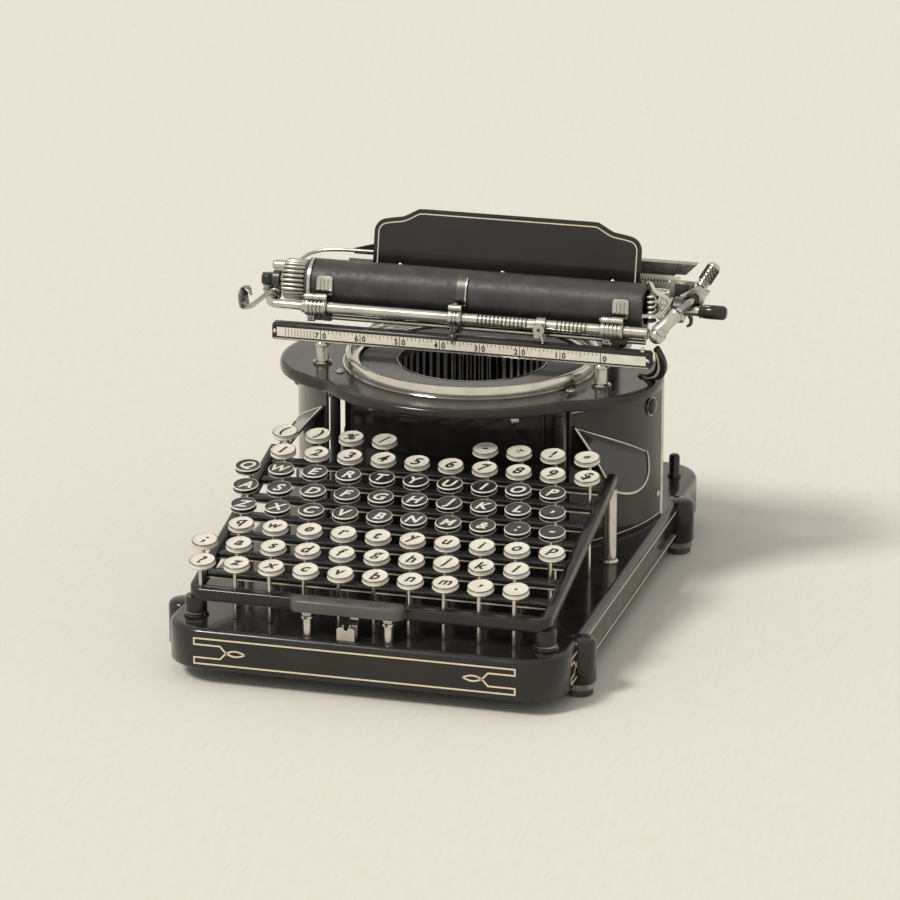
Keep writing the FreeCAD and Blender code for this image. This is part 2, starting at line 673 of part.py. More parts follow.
def type_basket():
    """Raised ring, ink pad, hanger ring with its legs, and the type bars that stand round the well."""
    z0 = PLATE_TOP
    wall = facet_ring(RING_RADIUS - RING_WALL, RING_RADIUS, z0, z0 + RING_HEIGHT, 0, RING_Y, RING_SIDES)
    step = facet_ring(WELL_RADIUS, RING_RADIUS - RING_WALL / 2, z0, z0 + RING_HEIGHT - 4.5, 0, RING_Y, RING_SIDES)
    ring = fuse([wall, step])
    save("type_ring", [ring])
    pad_top = PLATE_TOP + 2.0
    pad = facet_ring(PAD_INNER, WELL_RADIUS - 0.05, pad_top - PAD_HEIGHT, pad_top, 0, RING_Y, RING_SIDES)
    save("ink_pad", [pad])
    hanger = facet_ring(BAR_RING - 5, BAR_RING + 3.2, HANGER_Z, HANGER_Z + HANGER_HEIGHT, 0, RING_Y, 24)
    legs = []
    for k in range(4):
        angle = math.pi / 4 + k * math.pi / 2
        x = (BAR_RING + LEG_OUT) * math.cos(angle)
        y = RING_Y + (BAR_RING + LEG_OUT) * math.sin(angle)
        legs.append(box(x - 2, y - 2, HANGER_Z, x + 2, y + 2, PLATE_BOTTOM))
        lug = box(BAR_RING, -3.0, HANGER_Z, BAR_RING + LEG_OUT, 3.0, HANGER_Z + HANGER_HEIGHT)
        lug.rotate(V(0, 0, 0), V(0, 0, 1), math.degrees(angle))
        lug.translate(V(0, RING_Y, 0))
        legs.append(lug)
    pivot_y, high = RING_Y + BAR_RING, PIVOT_Z + 1.5
    for side in (-1, 1):
        near, far = sorted((side * (BAR_WIDTH / 2 + 0.35), side * (BAR_WIDTH / 2 + 1.2)))
        legs.append(box(near, pivot_y - 1.5, HANGER_Z + 1, far, pivot_y + 1.5, high))
    legs.append(cylinder(PIVOT_RADIUS, (-BAR_WIDTH, pivot_y, PIVOT_Z), (BAR_WIDTH, pivot_y, PIVOT_Z)))
    save("type_bar_hanger", [fuse([hanger] + legs)])

    bar_top = pad_top - PAD_HEIGHT - PIECE_GAP
    bars, wires = [], []
    lever_places = sorted(lever_x(row, x) for row in range(len(ROW_COLUMNS)) for x, _, _ in key_points(row))
    order = sorted(range(TYPE_BARS), key=lambda k: (round(math.cos(bar_angle(k)), 6), k))
    for rank, k in enumerate(order):
        angle = bar_angle(k)
        x, y = BAR_RING * math.cos(angle), RING_Y + BAR_RING * math.sin(angle)
        foot_z = HANGER_Z + HANGER_HEIGHT
        blade = [(-BAR_DEPTH / 2, 0, foot_z), (BAR_DEPTH / 2, -BAR_WIDTH / 2, foot_z), (BAR_DEPTH / 2, BAR_WIDTH / 2, foot_z)]
        bar = prism(blade, (0, 0, bar_top - foot_z))
        bar.rotate(V(0, 0, 0), V(0, 0, 1), math.degrees(angle))
        bar.translate(V(x, y, 0))
        foot_x = lever_places[rank]
        if k == SWING_INDEX:
            save("swing_type_bar", [swing_bar(x, y, bar_top)])
            save("swing_pull_wire", [wire_between(SWING_X, SWING_WIRE_Y, SWING_X)])
        else:
            bars.append(bar)
            wires.append(wire_between(foot_x, y, x))
    save("type_bars", bars)
    save("pull_wires", wires)


def swing_bar(x, y, top):
    """The type bar that is shown at work, with a round eye on its pivot."""
    eye = cylinder(BAR_DEPTH / 2, (x - BAR_WIDTH / 2, y, PIVOT_Z), (x + BAR_WIDTH / 2, y, PIVOT_Z))
    blade = box(x - BAR_WIDTH / 2, y - BAR_DEPTH / 2, PIVOT_Z, x + BAR_WIDTH / 2, y + BAR_DEPTH / 2, top)
    bore = cylinder(PIVOT_RADIUS + RUNNING_FIT, (x - BAR_WIDTH, y, PIVOT_Z), (x + BAR_WIDTH, y, PIVOT_Z))
    return fuse([eye, blade]).cut(bore)


def bar_angle(k):
    """Angle of one type bar round the well."""
    return -math.pi / 2 + 2 * math.pi * k / TYPE_BARS


def wire_between(foot_x, y, head_x):
    """A three-sided wire from a lever's back up to the hanger ring."""
    z0, z1 = LEVER_TOP + PIECE_GAP, HANGER_Z - PIECE_GAP
    half = WIRE / 2
    foot = [V(foot_x - half, y, z0), V(foot_x + half, y, z0), V(foot_x, y + WIRE, z0)]
    shift = V(head_x - foot_x, 0, z1 - z0)
    return Part.Face(Part.makePolygon(foot + foot[:1])).extrude(shift)


def scale():
    """A prismatic scale bar on two round posts, and the curved guard arm beside it."""
    y0, y1 = SCALE_Y - SCALE_DEPTH / 2, SCALE_Y + SCALE_DEPTH / 2
    z0, z1 = SCALE_TOP - SCALE_HEIGHT, SCALE_TOP
    left = -SCALE_LENGTH / 2
    outline = [
        (left, y0 + 1.0, z0),
        (left, y0, z0 + 0.8),
        (left, y0, z0 + 2.0),
        (left, y0 + 0.6, z0 + 2.2),
        (left, y0 + 0.9, z1 - 2.6),
        (left, y0 + 3.0, z1),
        (left, y1 - 2.0, z1),
        (left, y1, z1 - 2.6),
        (left, y1, z0),
    ]
    save("scale_bar", [prism(outline, (SCALE_LENGTH, 0, 0))])
    posts = [facet_rod(SCALE_POST_RADIUS, (s * SCALE_POST_X, SCALE_Y, PLATE_TOP), (s * SCALE_POST_X, SCALE_Y, z0)) for s in (-1, 1)]
    save("scale_posts", posts)
    foot, head = V(SIDE_X - 14, SCALE_Y + 26, PLATE_TOP), V(SIDE_X - 1, SCALE_Y + 3, RAIL_Z - 9.5)
    along = V(head.x - foot.x, head.y - foot.y, 0).normalize()
    reach = (head - foot).dot(along)
    rise = head.z - foot.z

    def at(share, height):
        return foot + along * (reach * share) + V(0, 0, rise * height)

    back = Part.Arc(at(0.28, 0), at(0.92, 0.4), at(1.0, 1.0)).toShape().discretize(GUARD_STEPS)
    front = Part.Arc(at(0.85, 1.0), at(0.72, 0.45), at(0, 0)).toShape().discretize(GUARD_STEPS)
    outline = back + front
    across = V(-along.y, along.x, 0) * GUARD_THICK
    save("guard_arm", [prism(outline, across)])


# ---------------------------------------------------------------- carriage
def way():
    """The flat way that the carriage runs along, on two posts at the back of the top plate."""
    y0, y1 = WAY_Y - WAY_DEPTH / 2, WAY_Y + WAY_DEPTH / 2
    z0, z1 = WAY_Z - WAY_HEIGHT / 2, WAY_Z + WAY_HEIGHT / 2
    bevel = WAY_HEIGHT
    outline = [(WAY_LEFT, y0, z0), (WAY_LEFT, y0, z1), (WAY_RIGHT, y0, z1), (WAY_RIGHT - bevel, y0, z0)]
    pieces = [prism(outline, (0, WAY_DEPTH, 0))]
    foot_y = RING_Y + math.sqrt(RING_RADIUS**2 - (WAY_POSTS[0] + 8) ** 2) + PIECE_GAP
    for x in WAY_POSTS:
        pieces.append(box(x - 4, y1, PLATE_TOP, x + 4, y1 + 5, WAY_Z + 2))
        pieces.append(box(x - 8, foot_y, PLATE_TOP, x + 8, foot_y + 12, PLATE_TOP + 3))
    save("carriage_way", [fuse(pieces)] + drive_brackets())


def truck():
    """The block that hooks over the way, the cross tube that the frame turns on, and the rack."""
    y0, y1 = WAY_Y - WAY_DEPTH / 2 - RUNNING_FIT, WAY_Y + 1.0
    z1 = WAY_Z + WAY_HEIGHT / 2 + RUNNING_FIT
    half = TRUCK_LENGTH / 2
    block = box(TRUCK_X - half, CROSS_Y - 1.5, CROSS_Z - 5, TRUCK_X + half, y0, z1 + 3.5)
    lip = box(TRUCK_X - half, y0, z1, TRUCK_X + half, y1, z1 + 3.5)
    reach = SIDE_X + SLEEVE_LENGTH / 2 + 2
    tube = cylinder(SIDE_TUBE_RADIUS, (-reach - 2, CROSS_Y, CROSS_Z), (reach, CROSS_Y, CROSS_Z))
    save("carriage_truck", [fuse([block, lip, tube])])

    top = WAY_Z - WAY_HEIGHT / 2 - PIECE_GAP
    outline = [(RACK_LEFT, y0, top)]
    for n in range(int((RACK_RIGHT - RACK_LEFT) / RACK_PITCH)):
        x = RACK_LEFT + n * RACK_PITCH
        outline += [(x, y0, RACK_Z + RACK_TOOTH), (x + RACK_PITCH / 2, y0, RACK_Z)]
    outline += [(RACK_RIGHT, y0, RACK_Z + RACK_TOOTH), (RACK_RIGHT + 6, y0, top)]
    save("carriage_rack", [prism(outline, (0, RACK_THICK, 0))])


def carriage_frame():
    """Side tubes that swing on the cross tube, with the bearings of the platen shaft."""
    sleeve = SIDE_TUBE_RADIUS + 2.4
    pieces = []
    ball = facet_rod(5.0, (SIDE_X, RAIL_Y - 8.0, RAIL_Z), (SIDE_X, RAIL_Y - 1, RAIL_Z))
    right = [
        facet_rod(SIDE_TUBE_RADIUS, (SIDE_X, RAIL_Y, RAIL_Z), (SIDE_X, CROSS_Y - sleeve + 1, CROSS_Z), 8),
        facet_rod(SIDE_TUBE_RADIUS + 1.4, (SIDE_X, RAIL_Y - 1, RAIL_Z), (SIDE_X, RAIL_Y + 9, RAIL_Z + 0.9), 8),
        ball.makeChamfer(1.6, edges_at_y(ball, RAIL_Y - 8.0)),
        facet_rod(sleeve, (SIDE_X - SLEEVE_LENGTH / 2, CROSS_Y, CROSS_Z), (SIDE_X + SLEEVE_LENGTH / 2, CROSS_Y, CROSS_Z)),
        facet_rod(7.0, (SIDE_X - 5, PLATEN_Y, PLATEN_Z), (SIDE_X + 5, PLATEN_Y, PLATEN_Z)),
        cylinder(BUSH_RADIUS, (SIDE_X, PLATEN_Y, PLATEN_Z), (LEVER_HUB_X + LEVER_HUB_LENGTH + PIECE_GAP, PLATEN_Y, PLATEN_Z)),
        box(SIDE_X - 3, PLATEN_Y - 4, RAIL_Z, SIDE_X + 3, PLATEN_Y + 4, PLATEN_Z),
    ]
    left_x = -SIDE_X - 2
    left = [
        facet_rod(LEFT_TUBE_RADIUS, (FRONT_RAIL_LEFT, RAIL_Y, RAIL_Z), (left_x - LEFT_TUBE_RADIUS, RAIL_Y, RAIL_Z), 8),
        facet_rod(LEFT_TUBE_RADIUS, (left_x, RAIL_Y, RAIL_Z), (left_x, CROSS_Y - sleeve + 1, CROSS_Z), 8),
        facet_rod(sleeve, (left_x - SLEEVE_LENGTH / 2, CROSS_Y, CROSS_Z), (left_x + SLEEVE_LENGTH / 2, CROSS_Y, CROSS_Z)),
        facet_rod(6.0, (left_x - 2.5, PLATEN_Y, PLATEN_Z), (left_x + 2.5, PLATEN_Y, PLATEN_Z)),
        box(left_x - 2.2, PLATEN_Y - 3.5, RAIL_Z, left_x + 2.2, PLATEN_Y + 3.5, PLATEN_Z),
    ]
    far = 2 * SIDE_X
    bore = facet_bore(SHAFT_RADIUS + RUNNING_FIT, (-far, PLATEN_Y, PLATEN_Z), (far, PLATEN_Y, PLATEN_Z))
    cross = facet_bore(SIDE_TUBE_RADIUS + RUNNING_FIT, (-far, CROSS_Y, CROSS_Z), (far, CROSS_Y, CROSS_Z))
    for group in (right, left):
        pieces.append(fuse(group).cut(bore).cut(cross))
    tilt = math.radians(TABLE_TILT)

    def behind(up, back):
        return (TABLE_Y + back * math.cos(tilt) + up * math.sin(tilt), TABLE_BOTTOM - back * math.sin(tilt) + up * math.cos(tilt))

    seat, depth = TABLE_THICK, TABLE_THICK + 3.0
    section = [behind(0.5, seat), behind(4.5, seat), behind(4.5, depth), behind(0.5, depth)]
    pieces.append(prism([(left_x - 2, *p) for p in section], (SIDE_X - left_x + 4, 0, 0)))
    y, z = behind(1.0, depth - 1.5)
    feet = RAIL_Z + (CROSS_Z - RAIL_Z) * (y - RAIL_Y) / (CROSS_Y - RAIL_Y) + 1.5
    pieces += [facet_rod(2.0, (x, y, feet), (x, y, z)) for x in (left_x, SIDE_X)]
    save("carriage_frame", [fuse(pieces)])

    rail = facet_rod(RAIL_TUBE_RADIUS, (FRONT_RAIL_LEFT, RAIL_Y, RAIL_Z), (SIDE_X - SIDE_TUBE_RADIUS - 2.6, RAIL_Y, RAIL_Z))
    thin = facet_rod(THIN_ROD_RADIUS, (FRONT_RAIL_LEFT + 6, RAIL_Y + 2, THIN_ROD_Z), (SIDE_X - 8, RAIL_Y + 2, THIN_ROD_Z))
    save("front_rails", [rail, thin])

    clamps, fingers, rollers = [], [], []
    for x, half in ((CLAMP_LEFT_X, 7.0), (CLAMP_CENTRE_X, 4.2), (CLAMP_RIGHT_X, 7.0)):
        ring = facet_rod(RAIL_TUBE_RADIUS + 1.8, (x - half, RAIL_Y, RAIL_Z), (x + half, RAIL_Y, RAIL_Z))
        knuckle = facet_rod(2.2, (x - half, RAIL_Y - 1, RAIL_Z + 6.8), (x + half, RAIL_Y - 1, RAIL_Z + 6.8))
        inner = x - 1.5 if half > 5 else x + half - 1
        hanger = box(x - half + 1, RAIL_Y - 1, THIN_ROD_Z - 3, inner, RAIL_Y + 4.5, RAIL_Z)
        clamp = fuse([ring, knuckle, hanger])
        if half > 5:
            space = ROLLER_RADIUS + PIECE_GAP
            clamp = clamp.cut(facet_rod(space, (x - 1.3, RAIL_Y + 2, THIN_ROD_Z), (x + 9.3, RAIL_Y + 2, THIN_ROD_Z)))
        clamp = clamp.cut(facet_rod(RAIL_TUBE_RADIUS, (x - 20, RAIL_Y, RAIL_Z), (x + 20, RAIL_Y, RAIL_Z)))
        clamps.append(clamp.cut(facet_rod(THIN_ROD_RADIUS, (x - 20, RAIL_Y + 2, THIN_ROD_Z), (x + 20, RAIL_Y + 2, THIN_ROD_Z))))
        fx = x + (3.5 if half > 5 else 2.0)
        fingers.append(paper_finger(fx, 5.2 if half > 5 else 3.4, half > 5))
        if half > 5:
            axis = (RAIL_Y + 2, THIN_ROD_Z)
            roller = facet_rod(ROLLER_RADIUS, (x - 1, *axis), (x + 9, *axis))
            rollers.append(roller.cut(cylinder(THIN_ROD_RADIUS + RUNNING_FIT, (x - 2, *axis), (x + 10, *axis))))
    save("rail_clamps", clamps)
    save("feed_rollers", rollers)
    save("paper_fingers", fingers)


def paper_finger(x, half, short):
    """A springy plate that follows the platen's curve just above it."""
    radius = PLATEN_RADIUS + PIECE_GAP
    low, high = (200.0, 150.0) if short else (200.0, 118.0)

    def at(r, degrees):
        a = math.radians(degrees)
        return V(x - half, PLATEN_Y + r * math.cos(a), PLATEN_Z + r * math.sin(a))

    outer = Part.Arc(at(radius + 1, low), at(radius + 1, (low + high) / 2), at(radius + 1, high))
    inner = Part.Arc(at(radius, high), at(radius, (low + high) / 2), at(radius, low))
    wire = Part.Wire(
        [
            outer.toShape(),
            Part.LineSegment(at(radius + 1, high), at(radius, high)).toShape(),
            inner.toShape(),
            Part.LineSegment(at(radius, low), at(radius + 1, low)).toShape(),
        ]
    )
    return Part.Face(wire).extrude(V(2 * half, 0, 0))


def paper_table():
    """The upright plate behind the platen, with ogee shoulders, on two feet from the side tubes."""
    w0, w1 = TABLE_LEFT, TABLE_RIGHT
    z0, z1 = TABLE_BOTTOM, TABLE_TOP
    step = 8.0

    def p(x, z):
        return V(x, 0, z)

    edges = [
        Part.LineSegment(p(w0, z0), p(w0, z1 - 2 * step)).toShape(),
        Part.Arc(p(w0, z1 - 2 * step), p(w0 + 0.3 * step, z1 - 1.3 * step), p(w0 + step, z1 - step)).toShape(),
        Part.LineSegment(p(w0 + step, z1 - step), p(w0 + 3 * step, z1 - step)).toShape(),
        Part.Arc(p(w0 + 3 * step, z1 - step), p(w0 + 3.7 * step, z1 - 0.7 * step), p(w0 + 4 * step, z1)).toShape(),
        Part.LineSegment(p(w0 + 4 * step, z1), p(w1 - 4 * step, z1)).toShape(),
        Part.Arc(p(w1 - 4 * step, z1), p(w1 - 3.7 * step, z1 - 0.7 * step), p(w1 - 3 * step, z1 - step)).toShape(),
        Part.LineSegment(p(w1 - 3 * step, z1 - step), p(w1 - step, z1 - step)).toShape(),
        Part.Arc(p(w1 - step, z1 - step), p(w1 - 0.3 * step, z1 - 1.3 * step), p(w1, z1 - 2 * step)).toShape(),
        Part.LineSegment(p(w1, z1 - 2 * step), p(w1, z0)).toShape(),
        Part.LineSegment(p(w1, z0), p(w0, z0)).toShape(),
    ]
    plate = Part.Face(Part.Wire(edges)).extrude(V(0, TABLE_THICK, 0))
    plate.rotate(V(0, 0, z0), V(1, 0, 0), -TABLE_TILT)
    plate.translate(V(0, TABLE_Y, 0))
    save("paper_table", [plate])


def platen():
    """Rubber-covered platen on its shaft, with the fluted line-space ratchet at the left."""
    axis = (PLATEN_Y, PLATEN_Z)

    def along(radius, x0, x1):
        return cylinder(radius, (x0, *axis), (x1, *axis))

    roll = facet_rod(PLATEN_RADIUS, (PLATEN_LEFT, *axis), (PLATEN_RIGHT, *axis), 24)
    save("platen", [roll.cut(facet_bore(SHAFT_RADIUS, (PLATEN_LEFT - 1, *axis), (PLATEN_RIGHT + 1, *axis)))])
    points = []
    for n in range(FLUTES):
        for shift, r in ((0.0, RATCHET_RADIUS), (0.5, RATCHET_RADIUS - 1.4)):
            a = 2 * math.pi * (n + shift) / FLUTES
            points.append((PLATEN_LEFT - RATCHET_LENGTH, PLATEN_Y + r * math.cos(a), PLATEN_Z + r * math.sin(a)))
    wheel = prism(points, (RATCHET_LENGTH, 0, 0))
    save("ratchet_wheel", [wheel.cut(facet_bore(SHAFT_RADIUS, (PLATEN_LEFT - 50, *axis), (PLATEN_LEFT + 1, *axis)))])
    shaft = along(SHAFT_RADIUS, -SIDE_X - 4.5, KNOB_X)
    end = KNOB_X + KNOB_LENGTH
    knob = facet_rod(KNOB_RADIUS, (KNOB_X, *axis), (end, *axis))
    save("platen_shaft", [shaft, knob.makeChamfer(1.0, [e for e in knob.Edges if abs(e.BoundBox.XMin - end) < 1e-4])])


def small_levers():
    """Line-space lever at the right, release lever at the left, and the margin stop on the front rail."""
    hub = facet_rod(LEVER_HUB_RADIUS, (LEVER_HUB_X, PLATEN_Y, PLATEN_Z), (LEVER_HUB_X + LEVER_HUB_LENGTH, PLATEN_Y, PLATEN_Z))
    middle = LEVER_HUB_X + LEVER_HUB_LENGTH / 2
    neck = facet_rod(2.4, (middle, PLATEN_Y, PLATEN_Z), (middle + 6, PLATEN_Y + 12, PLATEN_Z + 14))
    grip = facet_rod(4.1, (middle + 5, PLATEN_Y + 10, PLATEN_Z + 11.5), (middle + 12, PLATEN_Y + 18, PLATEN_Z + 27))
    seat = cylinder(BUSH_RADIUS + RUNNING_FIT, (0, PLATEN_Y, PLATEN_Z), (KNOB_X, PLATEN_Y, PLATEN_Z))
    lever = fuse([hub, neck, grip]).cut(seat)
    save("line_space_lever", [lever])

    x, y, z = RELEASE
    post = cylinder(2.4, (x, y, z - 6), (x, y, z + 2.5))
    nut = facet_rod(4.2, (x, y, z + 2.5), (x, y, z + 9.5), 12)
    reach = -SPOON_REACH
    drop = SPOON_BACK / reach

    def on_arm(along, height):
        return V(x + along * reach, y + along * SPOON_BACK, z + height)

    shape = [(0, 0.5), (0, -3.5), (0.55, -18), (0.8, -22), (0.93, -20.5), (1.0, -14.5)]
    shape += [(0.94, -8.5), (0.8, -6.5), (0.66, -9.5), (0.5, -12.5)]
    sideways = V(-drop, 1, 0).normalize() * SPOON_THICK
    sideways.x = 0
    arm = Part.makePolygon([on_arm(*p) for p in shape + shape[:1]])
    save("release_lever", [fuse([post, nut, Part.Face(arm).extrude(sideways)])])

    clear = RAIL_TUBE_RADIUS + RUNNING_FIT
    ring = facet_rod(clear + 1.0, (MARGIN_X - 3, RAIL_Y, RAIL_Z), (MARGIN_X + 3, RAIL_Y, RAIL_Z))
    tab = box(MARGIN_X - 3.5, RAIL_Y - 6.5, RAIL_Z - 6.8, MARGIN_X + 3.5, RAIL_Y - 1.5, RAIL_Z - 3.8)
    disc = facet_rod(3.7, (MARGIN_X, RAIL_Y - 8.5, RAIL_Z - 1), (MARGIN_X, RAIL_Y - 4, RAIL_Z - 1))
    stop = fuse([ring, tab, disc]).cut(facet_rod(clear, (0, RAIL_Y, RAIL_Z), (120, RAIL_Y, RAIL_Z)))
    save("margin_stop", [stop])


def escape_wheel_place():
    """Front face, rear face and axle height of the escape wheel."""
    y0 = WAY_Y - WAY_DEPTH / 2 + 0.5
    return y0, y0 + RACK_THICK - 1.0, RACK_Z + MESH - ESCAPE_RADIUS


def escapement():
    """The wheel in mesh with the rack, and the spring drum that draws the carriage."""
    y0, y1, z = escape_wheel_place()
    points = []
    for n in range(ESCAPE_TEETH):
        for shift, r in ((0.0, ESCAPE_RADIUS + MESH), (0.5, ESCAPE_RADIUS - 1.5)):
            a = 2 * math.pi * (n + shift) / ESCAPE_TEETH
            points.append((ESCAPE_X + r * math.sin(a), y0, z + r * math.cos(a)))
    wheel = prism(points, (0, y1 - y0, 0))
    axle = cylinder(AXLE_RADIUS + RUNNING_FIT, (ESCAPE_X, y0 - 1, z), (ESCAPE_X, y1 + 1, z))
    save("escape_wheel", [wheel.cut(axle)])
    dx, dy, dz = DRUM_CENTRE
    drum = [facet_rod(DRUM_RADIUS, (dx, dy, dz), (dx, dy + 2, dz), 16)]
    drum.append(facet_rod(DRUM_RADIUS - 2, (dx, dy, dz), (dx, dy + DRUM_LENGTH, dz), 16))
    drum.append(facet_rod(DRUM_RADIUS, (dx, dy + DRUM_LENGTH - 2, dz), (dx, dy + DRUM_LENGTH, dz), 16))
    bore = cylinder(3.0 + RUNNING_FIT, (dx, dy - 1, dz), (dx, dy + DRUM_LENGTH + 1, dz))
    save("mainspring_drum", [fuse(drum).cut(bore)])


def drive_brackets():
    """The standards that carry the escape wheel and the spring drum."""
    y0, y1, z = escape_wheel_place()
    dx, dy, dz = DRUM_CENTRE
    x = ESCAPE_X
    wheel_bracket = [
        facet_rod(AXLE_RADIUS, (x, y0 - 0.4, z), (x, y1 + 3, z)),
        box(x - 4, y1 + 1.0, z - 4, x + 4, BRACKET_Y + 4, z + 4),
        box(x - 6, BRACKET_Y, PLATE_TOP, x + 6, BRACKET_Y + 4, z + 4),
    ]
    drum_bracket = [
        facet_rod(3.0, (dx, dy - 12, dz), (dx, dy + DRUM_LENGTH + 1, dz)),
        box(dx - 6, dy - 13, PLATE_TOP, dx + 6, dy - 9, dz + 6),
    ]
    return [fuse(wheel_bracket), fuse(drum_bracket)]


# Values that depend on the ones above
FULCRUM_Z = LEVER_TOP - LEVER_HEIGHT - FULCRUM_RADIUS - RUNNING_FIT
CAP_SIDES = 8
RING_SIDES = 40
WELL_HALF_WIDTH = 106.0
WELL_HALF_DEPTH = 66.0
SPACE_END = 5.0
SPACE_GUIDE_TOP = SPACE_BAR_TOP - SPACE_BAR_THICK - SPACE_TRAVEL - 1.6
SPACE_LINK_WIDTH = 8.0
SPACE_LINK_THICK = 2.5
SPACE_LINK_Y = SPACE_BAR_Y - 1.5
SPACE_SLOT = (
    (SPACE_BAR_X - SPACE_LINK_WIDTH / 2 - 1.0, SPACE_LINK_Y - PIECE_GAP),
    (SPACE_BAR_X + SPACE_LINK_WIDTH / 2 + 3.0, SPACE_LINK_Y + 5.5),
)
FRONT_POST_X = RAIL_X - 0.5
RAIL_BRIDGE = 0.8
REAR_PANEL_HEIGHT = 60.0
WAIST_RADIUS = 14.0
RIM_RADIUS = 2.0
PLATE_STEP = 13.0
GUARD_THICK = 4.5
GUARD_STEPS = 6
LEG_OUT = 12.6
WING_TOP = 112.0
WING_THICK = 1.2
WING_PROUD = 0.5
WING_FACETS = 5
WING_FRONT_Z = 78.0
WING_END_Y = 58.0
WING_END_Z = 84.0
SWING_INDEX = TYPE_BARS // 2
PIVOT_Z = HANGER_Z + HANGER_HEIGHT + 2.0
PIVOT_RADIUS = 0.6
SWING_KEY_ROW = 1
SWING_KEY = 5
SWING_X = lever_x(SWING_KEY_ROW, key_points(SWING_KEY_ROW)[SWING_KEY][0])
SWING_WIRE_Y = RING_Y + BAR_RING
WIRE = 0.9
SLEEVE_LENGTH = 16.0
LEFT_TUBE_RADIUS = 2.8
FRONT_RAIL_LEFT = -99.0
CLAMP_LEFT_X = -93.5
CLAMP_CENTRE_X = -4.5
CLAMP_RIGHT_X = 94.5
MARGIN_X = 50.0
RACK_THICK = 4.0
LEVER_HUB_X = SIDE_X + 5 + PIECE_GAP
KNOB_X = LEVER_HUB_X + LEVER_HUB_LENGTH + KNOB_OUT
RELEASE = (-SIDE_X - 9.3, PLATEN_Y + 5.0, PLATEN_Z - 8.0)
SPOON_BACK = 28.0
SPOON_THICK = 4.0
DRUM_CENTRE = (-58.0, 139.0, 152.5)
BRACKET_Y = 146.0
AXLE_RADIUS = 2.0


def main():
    """Builds every node."""
    os.makedirs("parts", exist_ok=True)
    base_casting()
    rubber_feet()
    keys()
    levers()
    keyboard_frame()
    space_bar()
    body()
    top_plate()
    type_basket()
    scale()
    way()
    truck()
    carriage_frame()
    paper_table()
    platen()
    small_levers()
    escapement()


if __name__ == "__main__":
    main()
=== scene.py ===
"""The dressed model of a desk typing machine with a full double keyboard.

Sizes are in millimetres in the machine's own frame: x to the right, y to the back and z up,
with the middle of the base at the origin and the feet standing on z = 0.
"""

import logging
import math
from collections.abc import Callable, Iterable, Sequence
from dataclasses import dataclass, field
from enum import Enum

import bmesh
import bpy
from mathutils import Matrix, Vector
from mathutils.geometry import tessellate_polygon


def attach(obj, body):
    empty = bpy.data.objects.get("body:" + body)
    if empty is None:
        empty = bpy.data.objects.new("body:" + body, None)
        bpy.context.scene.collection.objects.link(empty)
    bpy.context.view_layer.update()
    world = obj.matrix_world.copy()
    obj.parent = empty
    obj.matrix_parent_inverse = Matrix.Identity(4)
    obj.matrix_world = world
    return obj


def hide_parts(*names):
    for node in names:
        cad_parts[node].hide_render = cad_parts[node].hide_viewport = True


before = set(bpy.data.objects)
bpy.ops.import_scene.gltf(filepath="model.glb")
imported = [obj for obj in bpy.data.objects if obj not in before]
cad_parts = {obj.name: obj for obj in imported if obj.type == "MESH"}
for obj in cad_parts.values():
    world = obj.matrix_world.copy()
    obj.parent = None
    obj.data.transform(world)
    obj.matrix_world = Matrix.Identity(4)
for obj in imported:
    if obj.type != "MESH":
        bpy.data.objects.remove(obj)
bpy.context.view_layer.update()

LOG = logging.getLogger("machine")
MM = 0.001
X, Y, Z = Vector((1, 0, 0)), Vector((0, 1, 0)), Vector((0, 0, 1))
SQUARE = ((-1, -1), (1, -1), (1, 1), (-1, 1))
LETTER_PITCH = 2.54
TABLE_SCREWS = (-52.0, 14.0, 84.0)
Face = tuple[int, ...]
Pair = tuple[float, float]
Triple = tuple[float, float, float]
Socket = bpy.types.NodeSocket


class Side(Enum):
    """The two hands of the machine."""

    LEFT = -1
    RIGHT = 1


class Tone(Enum):
    """The two sorts of key tops."""

    WHITE = "white"
    BLACK = "black"


